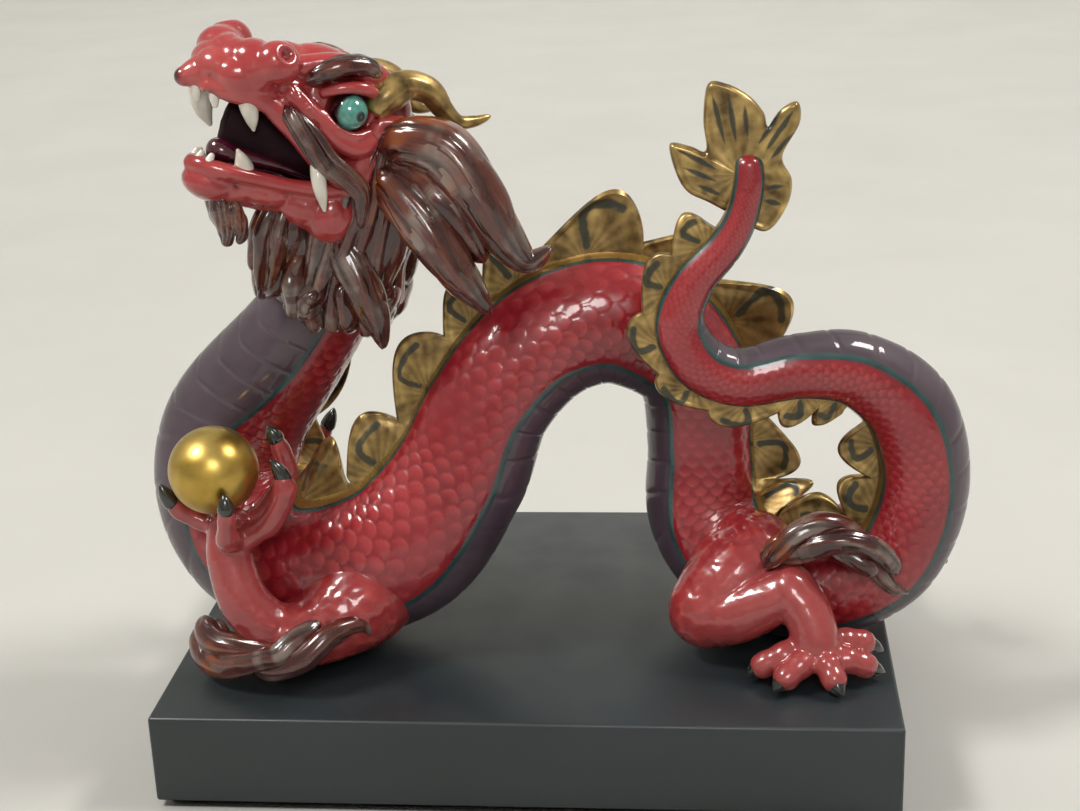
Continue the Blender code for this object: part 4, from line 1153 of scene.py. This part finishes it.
for word, side in (("near", 1), ("far", -1)):
    horn = other_side([(-12, 19, 1, 5.0), (-14, 20, 9, 7.2), (-21, 20, 17, 7.0), (-32, 21, 17.5, 6.0),
                       (-41, 22, 12, 4.6), (-49, 23, 8.5, 3.4), (-56, 23, 10.5, 2.6),
                       (-63, 24, 15, 1.2)], side)
    grid, numbers = grooved(horn, 3, 0.05, 1.2, ACROSS, 0.8, 48, start=0.05, end=0.06)
    # The depth of the horn's grooves feeds the edge measure, so the gilding paints shade into them.
    marks = {"stroke": np.full_like(numbers["run"], 9.0), "edge": np.asarray(numbers["valley"]) * 6,
             "fan": np.asarray(numbers["run"]) * 2}
    shells("horn_" + word + "_gilt", [(grid, marks)], gilding, ["horn_" + word], HEAD_PLACE)
    shape = bmesh.new()
    leaf = other_side([(-15, 20, -4, 5, 7), (-24, 25, -2, 4, 7), (-32, 28, 3, 1.8, 4)], side)
    rod(shape, leaf, 20, towards=ACROSS)
    press(shape, "ear_" + word, 0.6, 4)
    ear = bpy.context.object
    stroke_in(ear, other_side([(-17, 26, -3), (-24, 30, -1), (-30, 30, 3)], side), 2.4, 2.0)
    # Painted shade along the ear's fold.
    fold = other_side([(-17, 25, -3), (-24, 29, -1), (-30, 29, 3)], side)
    away, _ = off_path(points_of(ear)[0], fold)
    give(ear, "shade_and_mottle", np.exp(-(away / 2.2) ** 2) * 0.8)
    set_on_head(ear)
    settle("ear_" + word + "_glazed", face_glaze, "dragon", ["ear_" + word], smooth_to=180)

# Brows, moustaches, goatee and mane: locks of hair rolled in clay, combed with a wooden point and
# laid against each other, then glazed a brown lustre streaked with grey, part grey paint and part
# painted highlight, with painted orange glints and painted shade in the grooves between strands.
hair_lustre, shader = new_finish("hair_lustre", 0.24, coat=0.9, coat_roughness=0.07)
strand_and_run = [("X", measured(hair_lustre, "strand")), ("Y", measured(hair_lustre, "run"))]
strand_run = add_node(hair_lustre, "CombineXYZ", strand_and_run).outputs[0]
stretched = add_node(hair_lustre, "Mapping", [("Vector", strand_run), ("Scale", (1.7, 4.5, 1.0))]).outputs[0]
streak = add_node(hair_lustre, "TexNoise", [("Vector", stretched), ("Scale", 1.0), ("Detail", 5.0),
                                            ("Distortion", 0.4)]).outputs[0]
drift = cloud(hair_lustre, 26.0, 4.0, distortion=0.8)
brown = ramp(hair_lustre, sums(hair_lustre, "ADD", sums(hair_lustre, "MULTIPLY", streak, 0.7),
                               sums(hair_lustre, "MULTIPLY", drift, 0.3)),
             (0.28, colour(40, 14, 17)), (0.45, colour(76, 28, 24)), (0.62, colour(104, 50, 32)),
             (0.75, colour(128, 92, 66)))
# Grey streaks, part grey paint and part painted highlight.
grey_paint_and_highlight = sums(hair_lustre, "MULTIPLY", fade(hair_lustre, streak, 0.45, 0.58),
                  fade(hair_lustre, cloud(hair_lustre, 40.0, 3.0), 0.44, 0.58))
hair = blend(hair_lustre, sums(hair_lustre, "MULTIPLY", grey_paint_and_highlight, 0.65), brown, colour(140, 132, 124))
# Painted orange glints, a reflection of the lustre painted into its colour.
glint = sums(hair_lustre, "MULTIPLY", fade(hair_lustre, cloud(hair_lustre, 33.0, 2.0), 0.56, 0.68), 0.6)
hair = blend(hair_lustre, glint, hair, colour(150, 72, 18))
# Painted shade in the grooves between the strands.
hair = blend(hair_lustre, sums(hair_lustre, "MULTIPLY", measured(hair_lustre, "valley"), 0.75), hair,
             colour(34, 12, 14))
paint_on(hair_lustre, shader, "Base Color", hair)
uneven_shine(hair_lustre, shader, 60.0, 4.0, 0.24, 0.1)
relief(hair_lustre, shader, cloud(hair_lustre, 260.0, 3.0), 0.08, 0.35)

for word, side in (("near", 1), ("far", -1)):
    brow = other_side([(21, 16, 7, 2.5, 2.5), (15, 18.5, 13, 4.6, 4.4), (6, 19.5, 18.5, 5.6, 5.0),
                       (-3, 19.5, 20, 4.8, 4.4), (-11, 19, 17.5, 2.4, 2.4)], side)
    shells("brow_" + word + "_lustre", [grooved(brow, 2, 0.03, 0.6, ACROSS, start=0.14, end=0.2, seed=side)],
           hair_lustre, ["brow_" + word], HEAD_PLACE)
    whisker = other_side([(29, 17, -5, 2.5), (24, 20, -9, 4.2), (16, 22.5, -16, 4.4), (6, 24, -24, 4.4),
                          (-5, 25, -28, 4.2), (-12, 26, -32, 4.0), (-16, 25, -40, 3.2),
                          (-18, 24, -47, 1.6)], side)
    upper = other_side([(22, 21, -6, 1.2), (14, 24, -12, 2.2), (4, 26, -20, 2.4), (-6, 27, -24.5, 2.2),
                        (-13, 27.5, -29, 2.0), (-17, 27, -38, 1.2)], side)
    shells("whisker_" + word + "_lustre",
           [grooved(whisker, 5, 0.12, 2.0, ACROSS, seed=0.4 * side),
            grooved(upper, 3, 0.1, 1.0, ACROSS, seed=1.3)],
           hair_lustre, ["whisker_" + word], HEAD_PLACE)
goatee = [grooved([(42, 0, -48, 7, 4), (38, 0, -54, 9, 5.5), (34, 0, -60, 8, 5), (31, 0, -66, 5, 3.5),
                   (30, 0, -71, 2, 2)], 9, 0.14, 0.8, ACROSS)]
for lean in (-6, 5):
    goatee.append(grooved([(36, lean, -50, 4), (31, lean * 1.2, -57, 4.4), (27, lean * 1.2, -63, 3),
                           (27, lean, -68, 1.2)], 4, 0.14, 1.5, ACROSS, seed=lean))
shells("goatee_lustre", goatee, hair_lustre, ["goatee"], HEAD_PLACE)


def on_side(rows, side):
    """World rows on the near side, or mirrored in the head's middle plane when side is -1."""
    if side > 0:
        return rows
    turned = []
    for row in rows:
        offset = (Vector(row[:3]) - HEAD_CENTRE).dot(HEAD_NEAR)
        turned.append((*(Vector(row[:3]) - HEAD_NEAR * 2 * offset), *row[3:]))
    return turned


def strewn(rows, count, spread, thick, turns, seed=0.0):
    """Rows of thinner locks that wind round a lock's own rows and end at different lengths."""
    rows = np.array(rows, dtype=float)
    spans = len(rows) - 1
    laid = []
    for number in range(count):
        reach = 1 - 0.13 * ((number * 2 + 1) % 3)
        strand = []
        for step in range(9):
            share = step / 8 * reach
            centre, _, side, back, half_side, half_back = section(rows, spans * share)
            angle = 2 * math.pi * (number / count + turns * share) + seed
            off = side * math.cos(angle) * half_side + back * math.sin(angle) * half_back
            size = half_side * thick * (1 - 0.25 * (step / 8) ** 2)
            strand.append((*(centre + off * spread), max(0.9, size)))
        laid.append(strand)
    return laid


ruff_rows = [(-94, -8, 207, 31, 31), (-88, -12, 220, 33, 33), (-80, -17, 236, 33, 32),
             (-70, -22, 256, 30, 30), (-62, -22, 276, 24, 25), (-56, -20, 291, 14, 16),
             (-53, -19, 297, 6, 7)]
ruff = [grooved(ruff_rows, 23, 0.035, -0.7, spacing=1.1, sides=264, start=0.04, end=0.1)]
ruff_array = np.array(ruff_rows, dtype=float)
for number in range(15):
    angle = 2 * math.pi * number / 15
    low = 0.05 + 0.25 * ((number * 7) % 5) / 5
    high = low + 1.5 + 0.5 * ((number * 3) % 4) / 4
    lock = []
    for step in range(8):
        share = step / 7
        place = high + (low - high) * share
        centre, _, side, back, half_side, half_back = section(ruff_array, place)
        winding = angle + 0.13 * math.sin(share * 4.5 + number)
        off = side * math.cos(winding) * half_side + back * math.sin(winding) * half_back
        size = 4.6 * math.sin(math.pi * min(1.0, 0.1 + share * 0.85)) ** 0.8 + 0.8
        lock.append((*(centre + off * (0.89 + 0.06 * share)), size * 2.1, size * 1.1))
    ruff.append(grooved(lock, 3, 0.05, 0.8 * (-1) ** number, seed=number * 0.7, sides=48))
shells("mane_ruff_lustre", ruff, hair_lustre, ["mane_ruff"])

LOCKS = {"crown": ([(-56, -34, 280, 9), (-46, -40, 284, 12), (-30, -44, 280, 12.5), (-17, -46, 263, 12),
                    (-8, -44, 245, 9.5), (3, -40, 231, 6), (14, -37, 236, 3)], 3, 0.34, 0.66, 0.22),
         "cheek": ([(-60, -40, 270, 8), (-50, -46, 262, 10), (-38, -50, 247, 11), (-27, -52, 230, 9),
                    (-18, -50, 217, 5.5), (-13, -48, 209, 2.2)], 3, 0.34, 0.66, 0.25),
         "throat": ([(-82, -40, 244, 7), (-76, -43, 234, 9), (-69, -46, 220, 8.5), (-64, -46, 205, 6),
                     (-62, -44, 192, 2.2)], 2, 0.34, 0.68, 0.3)}
INNER_LOCK = [(-58, -34, 274, 8), (-45, -40, 268, 11), (-32, -44, 257, 11.5), (-22, -45, 243, 8.5),
              (-15, -43, 231, 3)]
for word, side in (("near", 1), ("far", -1)):
    for lock, (rows, count, spread, thick, turns) in LOCKS.items():
        rows = on_side(rows, side)
        strands = [grooved(rows, 5, 0.06, 0.7, sides=72)]
        for number, strand in enumerate(strewn(rows, count, spread * 1.25, thick, turns, seed=0.6 * side)):
            strands.append(grooved(strand, 3, 0.07, 0.9, seed=number * 1.1 + side, sides=48))
        if lock == "crown":
            strands.append(grooved(on_side(INNER_LOCK, side), 6, 0.09, 0.8, seed=2.0, sides=64))
        name = "mane_" + lock + "_" + word
        shells(name + "_lustre", strands, hair_lustre, [name])

beard_rows = [(-101, -44, 258, 6), (-105, -45, 250, 9), (-109, -42, 239, 9), (-114, -38, 226, 7),
              (-119, -32, 212, 3)]
beard = [grooved(beard_rows, 7, 0.08, 0.6, sides=64)]
for number, strand in enumerate(strewn(beard_rows, 7, 0.9, 0.42, 0.15)):
    beard.append(grooved(strand, 3, 0.08, 1.0, seed=number * 1.3, sides=32))
shells("mane_beard_lustre", beard, hair_lustre, ["mane_beard"])

# Hair tufts at the elbows and hocks: three curled strands of the same brown lustre, which wrap the
# back of each joint and end in a curl.
TUFTS = {
    "elbow_hair_near": [(-150, -60, 65, 7), (-146, -72, 59, 10.5), (-133, -82, 57.5, 11),
                        (-118, -90, 61, 8.5), (-106, -92, 62, 10.5), (-92, -86, 71, 10),
                        (-78, -76, 72, 7.5), (-74, -72, 61, 4.5)],
    "elbow_hair_far": [(-146, 34, 60, 5), (-140, 46, 56, 8), (-124, 54, 57, 8), (-108, 46, 62, 7),
                       (-96, 34, 62, 4)],
    "hock_hair_near": [(106, -56, 92, 4), (115, -57, 101, 8), (127, -57, 107, 10), (141, -57, 106, 10.5),
                       (153, -57, 98, 10), (163, -55, 87, 8), (172, -52, 79, 3)],
    "hock_hair_far": [(156, 28, 96, 5), (168, 30, 98, 7), (180, 28, 92, 6), (190, 24, 84, 3)]}
for number, (name, rows) in enumerate(TUFTS.items()):
    strands = []
    for order, strand in enumerate(strewn(rows, 3, 0.5, 0.62, 0.9, seed=number * 1.9)):
        strands.append(grooved(strand, 3, 0.07, 1.4, seed=order * 1.4 + number, sides=48))
    shells(name + "_lustre", strands, hair_lustre, [name])
